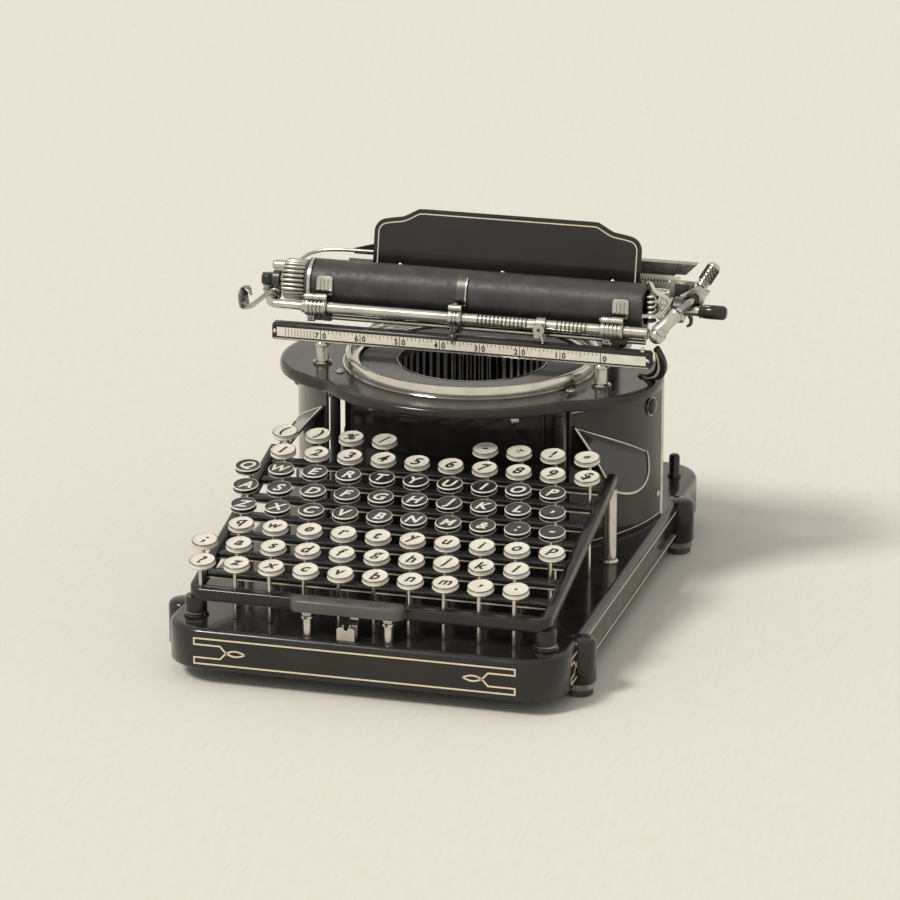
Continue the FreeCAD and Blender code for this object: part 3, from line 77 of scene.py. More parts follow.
# ------------------------------------------------------------------ finishes
class Nodes:
    """The node tree of one material, with its main shader at hand."""

    def __init__(self, material: bpy.types.Material) -> None:
        """Opens the tree.

        Args:
            material: The material that is dressed.
        """
        self.tree = material.node_tree
        self.shader = self.tree.nodes["Principled BSDF"]
        self.place = self.tree.nodes.new("ShaderNodeTexCoord").outputs["Object"]

    def fill(self, node: bpy.types.Node, values: dict[str, object]) -> bpy.types.Node:
        """Fills inputs of a node.

        Args:
            node: The node.
            values: Plain values or sockets, by the inputs' names with underscores for spaces.

        Returns:
            The node.
        """
        for name, value in values.items():
            target = node.inputs[name.replace("_", " ")]
            if isinstance(value, Socket):
                self.tree.links.new(value, target)
            else:
                target.default_value = value
        return node

    def set(self, **values: object) -> None:
        """Fills inputs of the main shader."""
        self.fill(self.shader, values)

    def new(self, kind: str, **values: object) -> bpy.types.Node:
        """A new node with some of its inputs filled."""
        return self.fill(self.tree.nodes.new(f"ShaderNode{kind}"), values)

    def noise(self, size: float, detail: float = 4.0, stretch: Triple = (1.0, 1.0, 1.0)) -> Socket:
        """Cloudy noise.

        Args:
            size: Size of one cloud, in millimetres.
            detail: How many finer layers it has.
            stretch: Factors on its coordinates.

        Returns:
            The socket of its height.
        """
        place = self.place
        if stretch != (1.0, 1.0, 1.0):
            place = self.new("Mapping", Scale=stretch, Vector=place).outputs["Vector"]
        return self.new("TexNoise", Scale=1 / (size * MM), Detail=detail, Vector=place).outputs["Fac"]

    def ramp(self, source: Socket, *stops: tuple[float, Triple]) -> Socket:
        """Turns a height into a colour.

        Args:
            source: The height.
            stops: Places along the ramp with their colours.

        Returns:
            The socket of the colour.
        """
        node = self.new("ValToRGB", Fac=source)
        elements = node.color_ramp.elements
        while len(elements) < len(stops):
            elements.new(1.0)
        for element, (position, colour) in zip(elements, stops):
            element.position = position
            element.color = (*colour, 1.0)
        return node.outputs["Color"]

    def spread(self, source: Socket, low: float, high: float) -> Socket:
        """Maps the middle of a noise on to a span of values from low to high."""
        span = self.new("MapRange", From_Min=0.3, From_Max=0.7, To_Min=low, To_Max=high, Value=source)
        return span.outputs["Result"]

    def bump(self, height: Socket, depth: float, strength: float = 1.0) -> None:
        """Roughens the surface by a relief of a depth in millimetres and a share of it that is felt."""
        relief = self.new("Bump", Distance=depth * MM, Strength=strength, Height=height)
        self.set(Normal=relief.outputs["Normal"])

    def darken(self, colour: Socket, shade_tone: Triple, reach: float, share: float = 1.0) -> Socket:
        """Paints shade into the corners and gaps, wherever ambient occlusion finds a neighbour near.

        Args:
            colour: Colour of the surface without the painted shade.
            shade_tone: Colour of the painted shade.
            reach: How far from a neighbour it starts, in millimetres.
            share: How much of it there is.

        Returns:
            The socket of the colour.
        """
        # painted shade: the colour darkens towards the shade colour where ambient occlusion is low
        gap = self.new("AmbientOcclusion", Distance=reach * MM)
        gap.samples = 8
        amount = self.new("MapRange", From_Min=0.9, From_Max=0.35, To_Max=share, Value=gap.outputs["AO"])
        mix = self.new("Mix")
        mix.data_type = "RGBA"
        factor, unshaded, shaded_input = mix.inputs[0], mix.inputs[6], mix.inputs[7]
        self.tree.links.new(amount.outputs["Result"], factor)
        self.tree.links.new(colour, unshaded)
        shaded_input.default_value = (*shade_tone, 1.0)
        return mix.outputs[2]


@dataclass(frozen=True)
class Finish:
    """A named surface that is made once and shared."""

    name: str
    slot: str

    def material(self) -> bpy.types.Material:
        """Makes the material at the first call.

        Returns:
            The material.
        """
        found = bpy.data.materials.get(self.name)
        if found is None:
            found = bpy.data.materials.new(self.name)
            found.use_nodes = True
            self.dress(Nodes(found))
        return found

    def dress(self, nodes: Nodes) -> None:
        """Each sort of finish fills its own nodes.

        Args:
            nodes: Nodes of the material.
        """
        raise NotImplementedError


@dataclass(frozen=True)
class Lacquer(Finish):
    """Stoved black lacquer with an even gloss, a little dulled by hands and dust."""

    colour: Triple = (0.012, 0.011, 0.011)
    worn: Triple = (0.024, 0.021, 0.019)
    shine: float = 0.13
    coat: float = 0.32

    def dress(self, nodes: Nodes) -> None:
        """Colour by broad clouds, shine by finer ones, and the faint orange peel of a stoved coat.

        Args:
            nodes: Nodes of the material.
        """
        clouds = nodes.noise(46.0, 6.0)
        nodes.set(Base_Color=nodes.ramp(clouds, (0.35, self.colour), (0.75, self.worn)))
        nodes.set(Roughness=nodes.spread(nodes.noise(9.0, 8.0), self.shine, self.shine + 0.13))
        nodes.set(Coat_Weight=self.coat, Coat_Roughness=0.05, Specular_IOR_Level=0.28)
        nodes.bump(nodes.noise(2.6, 2.0), 0.02, 0.35)


@dataclass(frozen=True)
class Plating(Finish):
    """Bright metal: nickel plate or steel, with fine rubbing marks, a little tarnish and painted shade in
    its corners and gaps.
    """

    bright: Triple = (0.66, 0.64, 0.60)
    dull: Triple = (0.42, 0.40, 0.36)
    shine: float = 0.15
    metal: float = 1.0
    # how far from a neighbour the painted shade reaches, in millimetres
    reach: float = 5.0

    def dress(self, nodes: Nodes) -> None:
        """Tarnish by clouds, rubbing marks along the grain, and painted shade in the corners and gaps.

        Args:
            nodes: Nodes of the material.
        """
        unshaded = nodes.ramp(nodes.noise(14.0, 8.0), (0.3, self.bright), (0.8, self.dull))
        # painted shade: near-black laid into the corners and gaps by ambient occlusion
        nodes.set(Base_Color=nodes.darken(unshaded, (0.035, 0.032, 0.028), self.reach, 0.85))
        nodes.set(Roughness=nodes.spread(nodes.noise(6.0, 6.0), self.shine, self.shine + 0.12))
        nodes.set(Metallic=self.metal)
        nodes.bump(nodes.noise(1.6, 2.0), 0.005, 0.25)


@dataclass(frozen=True)
class Celluloid(Finish):
    """Pressed key-top celluloid, gently mottled."""

    colour: Triple = (0.83, 0.79, 0.69)
    stain: Triple = (0.70, 0.63, 0.49)
    glow: float = 0.08

    def dress(self, nodes: Nodes) -> None:
        """Mottling, a soft glow under the skin, and a worn polish.

        Args:
            nodes: Nodes of the material.
        """
        nodes.set(Base_Color=nodes.ramp(nodes.noise(7.0, 7.0), (0.4, self.colour), (0.85, self.stain)))
        nodes.set(Roughness=nodes.spread(nodes.noise(3.0, 4.0), 0.24, 0.38))
        nodes.set(Subsurface_Weight=self.glow, Subsurface_Radius=(0.001, 0.0008, 0.0005))
        nodes.set(Coat_Weight=0.3, Coat_Roughness=0.12)
        nodes.bump(nodes.noise(1.4, 3.0), 0.012, 0.3)


@dataclass(frozen=True)
class Paint(Finish):
    """Hand-laid lining paint and the ink of letters and graduations."""

    colour: Triple = (0.78, 0.70, 0.52)
    faded: Triple = (0.66, 0.57, 0.39)
    rough: float = 0.45

    def dress(self, nodes: Nodes) -> None:
        """Uneven colour and the low relief of a brush.

        Args:
            nodes: Nodes of the material.
        """
        nodes.set(Base_Color=nodes.ramp(nodes.noise(3.0, 6.0), (0.35, self.colour), (0.8, self.faded)))
        nodes.set(Roughness=nodes.spread(nodes.noise(1.2, 4.0), self.rough, self.rough + 0.15))
        nodes.bump(nodes.noise(0.6, 2.0), 0.02, 0.4)


@dataclass(frozen=True)
class Rubber(Finish):
    """Old vulcanised rubber, greyed and slightly pitted."""

    colour: Triple = (0.030, 0.029, 0.028)
    bloom: Triple = (0.075, 0.071, 0.066)
    rough: float = 0.42

    def dress(self, nodes: Nodes) -> None:
        """Grey bloom by clouds and fine pits.

        Args:
            nodes: Nodes of the material.
        """
        nodes.set(Base_Color=nodes.ramp(nodes.noise(11.0, 9.0), (0.35, self.colour), (0.8, self.bloom)))
        nodes.set(Roughness=nodes.spread(nodes.noise(4.0, 6.0), self.rough, self.rough + 0.2))
        nodes.bump(nodes.noise(0.8, 6.0), 0.03, 0.5)


@dataclass(frozen=True)
class Felt(Finish):
    """The ink pad's grey felt."""

    colour: Triple = (0.10, 0.095, 0.09)
    fibre: Triple = (0.27, 0.255, 0.24)

    def dress(self, nodes: Nodes) -> None:
        """Matted fibres.

        Args:
            nodes: Nodes of the material.
        """
        fibres = nodes.noise(0.9, 8.0)
        nodes.set(Base_Color=nodes.ramp(fibres, (0.4, self.colour), (0.75, self.fibre)))
        nodes.set(Roughness=0.85, Sheen_Weight=0.2)
        nodes.bump(fibres, 0.25, 0.7)


@dataclass(frozen=True)
class Ground(Finish):
    """The pale paper sheet that the machine stands on."""

    colour: Triple = (0.815, 0.785, 0.705)
    shade: Triple = (0.785, 0.75, 0.665)

    def dress(self, nodes: Nodes) -> None:
        """The ribs of laid paper, very faint.

        Args:
            nodes: Nodes of the material.
        """
        ribs = nodes.noise(2.5, 3.0, (1.0, 0.12, 1.0))
        nodes.set(Base_Color=nodes.ramp(ribs, (0.35, self.colour), (0.75, self.shade)))
        nodes.set(Roughness=0.9, Specular_IOR_Level=0.1)


BLACK = Lacquer("black_lacquer", "japan_black")
SATIN = Lacquer("satin_black", "japan_black", (0.016, 0.015, 0.015), (0.032, 0.028, 0.026), 0.22, 0.2)
NICKEL = Plating("nickel_plate", "nickel")
POLISHED = Plating("polished_ring", "nickel", (0.78, 0.76, 0.72), (0.60, 0.57, 0.52), 0.09)
STEEL = Plating("bright_steel", "steel", (0.44, 0.43, 0.41), (0.27, 0.26, 0.24), 0.22)
DARK_STEEL = Plating("dark_steel", "steel", (0.13, 0.127, 0.122), (0.07, 0.066, 0.06), 0.28)
# the wheel's steel paints shade only 2.2 mm out, so the flutes show as dark lines
WHEEL_STEEL = Plating("wheel_steel", "steel", (0.50, 0.48, 0.45), (0.33, 0.31, 0.28), 0.25, 1.0, 2.2)
# type bars: near-white and not metallic, a painted sheen that stands for light on bright steel; painted
# shade reaches 1.2 mm
BAR_SHEEN_PAINT = Plating("type_bar_painted_sheen", "steel", (0.95, 0.93, 0.88), (0.84, 0.81, 0.75), 0.4, 0.0, 1.2)
EBONY = Lacquer("space_bar_black", "japan_black", (0.070, 0.065, 0.060), (0.12, 0.11, 0.10), 0.34, 0.25)
KEY_WHITE = Celluloid("white_key", "key_white")
KEY_BLACK = Celluloid("black_key", "key_black", (0.014, 0.013, 0.013), (0.03, 0.027, 0.025), 0.0)
KEY_EDGE = Celluloid("key_edge", "ivory", (0.10, 0.09, 0.08), (0.07, 0.06, 0.05), 0.0)
SCALE_FACE = Celluloid("scale_face", "ivory", (0.85, 0.81, 0.70), (0.74, 0.67, 0.52), 0.05)
LINING = Paint("lining_paint", "ivory")
INK_BLACK = Paint("black_ink", "key_black", (0.012, 0.012, 0.012), (0.03, 0.028, 0.026))
INK_WHITE = Paint("white_ink", "key_white", (0.82, 0.79, 0.70), (0.70, 0.66, 0.55))
PLATEN_RUBBER = Rubber("platen_rubber", "rubber", (0.028, 0.028, 0.029), (0.060, 0.058, 0.056), 0.36)
FOOT_RUBBER = Rubber("foot_rubber", "rubber", (0.045, 0.043, 0.040), (0.12, 0.112, 0.10), 0.6)
INK_FELT = Felt("ink_felt", "pad")
GROUND = Ground("pale_paper", "ivory")


# ------------------------------------------------------------------ forms
def xyz(x: float, y: float, z: float = 0.0) -> Vector:
    """A point or a move, in millimetres."""
    return Vector((x, y, z))


def ring(centre: Vector, radii: Sequence[float], u: Vector = X, v: Vector = Y) -> list[Vector]:
    """Points at even angles round a centre, each at a distance of its own, from u towards v."""
    turns = [math.tau * n / len(radii) for n in range(len(radii))]
    return [centre + (u * math.cos(t) + v * math.sin(t)) * r for t, r in zip(turns, radii)]


def heading(path: Sequence[Vector], n: int) -> Vector:
    """The direction of a path at one of its points, by the point's number."""
    return (path[min(n + 1, len(path) - 1)] - path[max(n - 1, 0)]).normalized()


def arc(
    centre: Vector, radius: float, start: float, end: float, steps: int, u: Vector = X, v: Vector = Y
) -> list[Vector]:
    """Points along an arc, both ends among them; angles are degrees from u towards v."""
    turns = [math.radians(start + (end - start) * n / steps) for n in range(steps + 1)]
    return [centre + u * (radius * math.cos(t)) + v * (radius * math.sin(t)) for t in turns]


def smooth_path(points: Sequence[Vector], steps: int = 6) -> list[Vector]:
    """A smooth curve through a few points.

    Args:
        points: The points that it passes.
        steps: Steps between two of them.

    Returns:
        The points of the curve.
    """
    ends = [points[0] * 2 - points[1], *points, points[-1] * 2 - points[-2]]
    path: list[Vector] = []
    for a, b, c, d in zip(ends, ends[1:], ends[2:], ends[3:]):
        for n in range(steps):
            t = n / steps
            bend, twist = a * 2 - b * 5 + c * 4 - d, b * 3 - a - c * 3 + d
            path.append((b * 2 + (c - a) * t + bend * t**2 + twist * t**3) * 0.5)
    return path + [points[-1].copy()]


def inset(loop: Sequence[Vector], depth: float) -> list[Vector]:
    """Draws a closed outline, run anticlockwise seen from above, inwards by a depth.

    Args:
        loop: The outline.
        depth: How far each side moves in.

    Returns:
        The smaller outline.
    """
    moved = []
    for before, here, after in zip([loop[-1], *loop[:-1]], loop, [*loop[1:], loop[0]]):
        a, b = (here - before).normalized(), (after - here).normalized()
        way = (Z.cross(a) + Z.cross(b)).normalized()
        lean = max(0.35, way.dot(Z.cross(a)))
        moved.append(here + way * (depth / lean))
    return moved


def bearing(way: Vector) -> float:
    """The angle of a direction seen from above, in degrees from x."""
    return math.degrees(math.atan2(way.y, way.x))


def spoke(turn: float) -> Vector:
    """A step of length 1 square to x, at an angle in degrees from y."""
    return xyz(0, math.cos(math.radians(turn)), math.sin(math.radians(turn)))


def stepped(outline: Sequence[Vector], steps: Iterable[Pair]) -> list[list[Vector]]:
    """Rings that follow an outline at z = 0, each by how far it is drawn in and its height."""
    return [[p + Z * z for p in (inset(outline, depth) if depth else outline)] for depth, z in steps]


def rounded_rectangle(width: float, depth: float, radius: float, z: float, steps: int = 10) -> list[Vector]:
    """A rectangle about the origin with round corners.

    Args:
        width: Size along x.
        depth: Size along y.
        radius: Corner radius.
        z: Height that it lies at.
        steps: Steps in each corner.

    Returns:
        Its outline, anticlockwise.
    """
    loop: list[Vector] = []
    corners = [(1, -1, -90), (1, 1, 0), (-1, 1, 90), (-1, -1, 180)]
    for sx, sy, start in corners:
        centre = xyz(sx * (width / 2 - radius), sy * (depth / 2 - radius), z)
        loop += arc(centre, radius, start, start + 90, steps)
    return loop


class Form:
    """Faces gathered in millimetres, to become one named object."""

    def __init__(self) -> None:
        """Starts with no faces."""
        self.points: list[Vector] = []
        self.faces: list[Face] = []
        self.slots: list[int] = []

    def add(self, points: Iterable[Vector], faces: Iterable[Face], slot: int = 0) -> None:
        """Adds faces with their own points.

        Args:
            points: The points.
            faces: Faces that count the points from 0.
            slot: Which of the object's finishes they take.
        """
        start = len(self.points)
        self.points += [Vector(p) for p in points]
        for face in faces:
            self.faces.append(tuple(start + n for n in face))
            self.slots.append(slot)

    def loft(
        self, rings: Sequence[Sequence[Vector]], slot: int = 0, caps: bool = True, closed: bool = False
    ) -> None:
        """A skin over a row of rings with equally many points.

        Args:
            rings: The rings.
            slot: Finish of the skin.
            caps: Whether the first and the last ring are filled.
            closed: Whether the last ring joins the first.
        """
        sides = len(rings[0])
        faces: list[Face] = []
        for k in range(len(rings) if closed else len(rings) - 1):
            a, b = k * sides, (k + 1) % len(rings) * sides
            faces += [(a + n, a + (n + 1) % sides, b + (n + 1) % sides, b + n) for n in range(sides)]
        if caps and not closed:
            last = (len(rings) - 1) * sides
            faces += [tuple(reversed(range(sides))), tuple(range(last, last + sides))]
        self.add([p for row in rings for p in row], faces, slot)

    def lathe(
        self, profile: Sequence[Pair], base: Vector, axis: Vector = Z, sides: int = 32, slot: int = 0
    ) -> None:
        """A round body, closed only where its profile starts and ends on the axis.

        Args:
            profile: Pairs of radius and height along the axis.
            base: Where height 0 is.
            axis: Direction of the axis.
            sides: How many sides the round has.
            slot: Finish of the body.
        """
        u, v = across(axis)
        way = axis.normalized()
        rings = [ring(base + way * height, [max(radius, 0.001)] * sides, u, v) for radius, height in profile]
        self.loft(rings, slot, caps=profile[0][0] == 0 == profile[-1][0])

    def rod(
        self, base: Vector, axis: Vector, radius: float, length: float, sides: int = 28, slot: int = 0
    ) -> None:
        """A plain round bar that starts at the middle of its first end."""
        self.lathe([(0, 0), (radius, 0), (radius, length), (0, length)], base, axis, sides, slot)

    def tube(
        self, path: Sequence[Vector], radius: float | Callable[[float], float], sides: int = 14,
        slot: int = 0,
    ) -> None:
        """A round bar along a path.

        Args:
            path: The middle line.
            radius: Its radius, or a function of the share of the way along.
            sides: How many sides it has.
            slot: Finish of the bar.
        """
        u, _ = across(path[1] - path[0])
        rings = []
        for n, here in enumerate(path):
            way = heading(path, n)
            u = (u - way * u.dot(way)).normalized()
            size = radius(n / (len(path) - 1)) if callable(radius) else radius
            rings.append(ring(here, [size] * sides, u, way.cross(u)))
        self.loft(rings, slot)

    def prism(self, outline: Sequence[Vector], push: Vector, slot: int = 0) -> None:
        """A flat outline given a thickness.

        Args:
            outline: The outline.
            push: The thickness, as a move.
            slot: Finish of the body.
        """
        count = len(outline)
        faces: list[Face] = [(n, (n + 1) % count, (n + 1) % count + count, n + count) for n in range(count)]
        triangles = tessellate_polygon([list(outline)])
        faces += [tuple(t) for t in triangles] + [tuple(n + count for n in reversed(t)) for t in triangles]
        self.add([*outline, *[p + push for p in outline]], faces, slot)

    def block(self, low: Sequence[float], high: Sequence[float], slot: int = 0) -> None:
        """A box.

        Args:
            low: Its lowest corner.
            high: Its highest corner.
            slot: Finish of the box.
        """
        x0, y0, z0 = low
        x1, y1, z1 = high
        outline = [xyz(x0, y0, z0), xyz(x1, y0, z0), xyz(x1, y1, z0), xyz(x0, y1, z0)]
        self.prism(outline, Z * (z1 - z0), slot)

    def sheet(self, loops: Sequence[Sequence[Vector]], slot: int = 0) -> None:
        """A flat face inside the first loop with the other loops as holes."""
        triangles = tessellate_polygon([list(loop) for loop in loops])
        self.add([p for loop in loops for p in loop], [tuple(t) for t in triangles], slot)

    def ribbon(
        self, path: Sequence[Vector], width: float, out: Vector, proud: float = 0.12, slot: int = 0
    ) -> None:
        """A painted line on a face, with mitred corners.

        Args:
            path: Its middle line, on the face.
            width: Width of the line.
            out: Direction out of the face.
            proud: How far the paint stands out.
            slot: Finish of the line.
        """
        closed = (path[0] - path[-1]).length < 1e-6
        line = list(path[:-1]) if closed else list(path)
        left, right = [], []
        for n, here in enumerate(line):
            before = line[n - 1] if n or closed else here * 2 - line[1]
            after = line[(n + 1) % len(line)] if n < len(line) - 1 or closed else here * 2 - line[n - 1]
            a, b = (here - before).normalized(), (after - here).normalized()
            way = (a + b).normalized() if (a + b).length > 1e-6 else a
            side = out.cross(way).normalized() * (width / 2)
            side /= max(0.4, way.dot(a))
            left.append(here + side)
            right.append(here - side)
        lift = out.normalized() * proud
        rings = [[r, l, l + lift, r + lift] for l, r in zip(left, right)]
        self.loft(rings, slot, caps=not closed, closed=closed)

    def piece(
        self,
        name: str,
        body: str,
        *finishes: Finish,
        replaces: str = "",
        bevel: float = 0.0,
        sharp: float = 40.0,
    ) -> bpy.types.Object:
        """Makes the object.

        Args:
            name: Its name.
            body: The body that it moves with.
            finishes: Its finishes, in the order of the slots.
            replaces: Solid that it stands for.
            bevel: Width of the rounding of its sharp edges, in millimetres.
            sharp: Angle from which an edge counts as sharp, in degrees.

        Returns:
            The object.
        """
        mesh = bpy.data.meshes.new(name)
        mesh.from_pydata([p * MM for p in self.points], [], self.faces)
        for finish in finishes:
            mesh.materials.append(finish.material())
        mesh.polygons.foreach_set("material_index", self.slots)
        work = bmesh.new()
        work.from_mesh(mesh)
        bmesh.ops.recalc_face_normals(work, faces=work.faces)
        work.to_mesh(mesh)
        work.free()
        mesh.shade_smooth()
        mesh.set_sharp_from_angle(angle=math.radians(sharp))
        thing = bpy.data.objects.new(name, mesh)
        bpy.context.scene.collection.objects.link(thing)
        if bevel:
            rounding = thing.modifiers.new("rounding", "BEVEL")
            rounding.width = bevel * MM
            rounding.segments = 2
            rounding.limit_method = "ANGLE"
            rounding.angle_limit = math.radians(sharp)
            rounding.harden_normals = True
        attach(thing, body)
        if replaces:
            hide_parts(replaces)
        LOG.info("%s: %d faces on %s", name, len(mesh.polygons), body)
        return thing


def across(axis: Vector) -> tuple[Vector, Vector]:
    """Two directions square to an axis and to each other.

    Args:
        axis: The axis.

    Returns:
        The two, of length 1.
    """
    way = axis.normalized()
    u = (Z if abs(way.z) < 0.9 else X).cross(way).normalized()
    return u, way.cross(u)


def letters(text: str, size: float, lean: float = 0.0) -> tuple[list[Vector], list[Face]]:
    """The faces of a short word, lying flat about the origin.

    Args:
        text: The word.
        size: Height of a line of it.
        lean: How far it leans to the right.

    Returns:
        Its points and its faces.
    """
    curve = bpy.data.curves.new("word", "FONT")
    curve.body, curve.size, curve.shear = text, size, lean
    curve.align_x, curve.align_y = "CENTER", "CENTER"
    curve.resolution_u = 3
    curve.offset = size * (0.014 if text == "g" else 0.026)  # more would choke the loops of a g
    carrier = bpy.data.objects.new("word", curve)
    mesh = bpy.data.meshes.new_from_object(carrier)
    xs = [v.co.x for v in mesh.vertices] or [0.0]
    ys = [v.co.y for v in mesh.vertices] or [0.0]
    middle = xyz((min(xs) + max(xs)) / 2, (min(ys) + max(ys)) / 2)
    points = [v.co - middle for v in mesh.vertices]
    faces = [tuple(p.vertices) for p in mesh.polygons]
    bpy.data.objects.remove(carrier)
    bpy.data.curves.remove(curve)
    bpy.data.meshes.remove(mesh)
    return points, faces


def dress(finish: Finish, *nodes: str) -> None:
    """Gives solids that stay in view their finish.

    Args:
        finish: The finish.
        nodes: Names of the solids.
    """
    for name in nodes:
        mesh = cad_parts[name].data
        mesh.materials.clear()
        mesh.materials.append(finish.material())
        LOG.info("%s: solid kept, in %s", name, finish.name)


# ------------------------------------------------------------------ base
@dataclass
class Base:
    """The hollow base casting with its feet, cover pegs and painted lines."""

    width: float = 242.7
    depth: float = 374.7
    bottom: float = 10.0
    top: float = 35.0
    corner: float = 26.0
    edge: float = 4.0
    wall: float = 4.0
    deck: float = 3.0
    well: Pair = (106.0, 66.0)
    well_y: float = 65.0
    socket: float = 9.3
    foot: float = 8.3
    foot_y: Pair = (-140.0, 115.0)
    peg: Pair = (108.0, 158.0)
    line_width: float = 0.95
    line_ends: Pair = (-99.8, 94.1)
    line_heights: tuple[float, float, float, float] = (29.4, 25.6, 17.6, 13.8)

    def build(self) -> None:
        """Builds every piece of the base."""
        self.casting()
        self.feet()
        self.lines()

    def holes(self, z: float) -> list[list[Vector]]:
        """The well and the guide slots of the stems in the deck.

        Args:
            z: Height that they are drawn at.

        Returns:
            Their outlines.
        """
        loops = [ring(xyz(0, self.well_y, z), [1.0] * 64, X * self.well[0], Y * self.well[1])]
        for row in KeyRow.rows()[:2]:
            loops += [square(x, row.y, row.stem + 0.25, z) for x in row.stems()]
        return loops

    def casting(self) -> None:
        """Skirt with a rolled top edge, deck with its openings, and the foot sockets."""
        form = Form()
        outer = rounded_rectangle(self.width, self.depth, self.corner, 0)
        inner = inset(outer, self.wall)
        under = self.top - self.deck
        steps = [(self.wall - 0.8, self.bottom), (0.9, self.bottom), (0.0, self.bottom + 0.9)]
        for n in range(7):
            turn = math.radians(15 * n)
            depth = max(self.edge * (1 - math.cos(turn)), 0.001)
            steps.append((depth, self.top - self.edge * (1 - math.sin(turn))))
        skin = stepped(inner, [(0.0, under), (0.0, self.bottom + 0.8)]) + stepped(outer, steps)
        form.loft(skin, caps=False)
        form.sheet([skin[-1], *self.holes(self.top)])
        form.sheet([skin[0], *self.holes(under)])
        for upper, lower in zip(self.holes(self.top), self.holes(under)):
            form.loft([upper, lower], caps=False)
        r = self.socket
        socket = [
            (0, 8.0), (r - 0.7, 8.0), (r, 8.9), (r, 31.4), (r - 0.4, 33.2), (r - 1.7, 34.5),
            (r - 3.9, 35.3), (r - 6.5, 35.7), (0, 35.8),
        ]
        peg = [(0, 34), (4.4, 34), (4.4, 36.2), (3.5, 37.2), (3.5, 47.8), (2.9, 49.3), (1.5, 49.9), (0, 50)]
        for side in Side:
            for y in self.foot_y:
                form.lathe(socket, xyz(side.value * self.width / 2, y), sides=40)
            form.lathe(peg, xyz(side.value * self.peg[0], self.peg[1]), sides=24)
        form.piece("base_shell", "machine", BLACK, replaces="base_casting", sharp=50)

    def feet(self) -> None:
        """Rubber buttons with a knurled flange."""
        form = Form()
        for side in Side:
            for y in self.foot_y:
                where = xyz(side.value * self.width / 2, y)
                form.lathe([(0, 0), (6.6, 0), (7.4, 0.7), (7.6, 4.4), (0, 4.4)], where, sides=40)
                form.prism(ring(where + Z * 4.4, [self.foot - 0.45, self.foot] * 36), Z * 3.5, 1)
        form.piece("foot_buttons", "machine", FOOT_RUBBER, STEEL, replaces="rubber_feet", sharp=30)

    def lines(self) -> None:
        """Lining on the front and on both sides: two long lines, tied into a loop at each end."""
        form = Form()
        left, right = self.line_ends
        self.hairpin(form, xyz(left, -self.depth / 2), X, -Y, right - left, 16.0)
        front, rear = self.foot_y
        for side in Side:
            start = xyz(side.value * self.width / 2, front - 22.5)
            self.hairpin(form, start, Y, X * side.value, rear - front + 52.0, 6.5)
        form.piece("base_lining", "machine", LINING, sharp=60)

    def hairpin(
        self, form: Form, start: Vector, way: Vector, out: Vector, length: float, back: float
    ) -> None:
        """One panel of lining.

        Args:
            form: What it is added to.
            start: Foot of its first end.
            way: Direction that it runs in.
            out: Direction out of the face.
            length: Its length.
            back: How far the lines run back before they tie.
        """
        high, upper, lower, low = self.line_heights
        middle = (upper + lower) / 2
        for end, turn in ((0.0, 1), (length, -1)):
            for edge, inner in ((high, upper), (low, lower)):
                tie = end + turn * (back + 3.6)
                spots = [(length / 2, edge), (end, edge), (end, inner)]
                spots += [(end + turn * back, inner), (tie, middle)]
                swell = (middle - inner) * 0.42
                for share in (n / 8 for n in range(1, 9)):
                    spots.append((tie + turn * 11.5 * share, middle + swell * math.sin(math.pi * share)))
                form.ribbon([start + way * along + Z * z for along, z in spots], self.line_width, out)


def square(x: float, y: float, half: float, z: float) -> list[Vector]:
    """A square outline about a point."""
    return [xyz(x + half * a, y + half * b, z) for a, b in SQUARE]


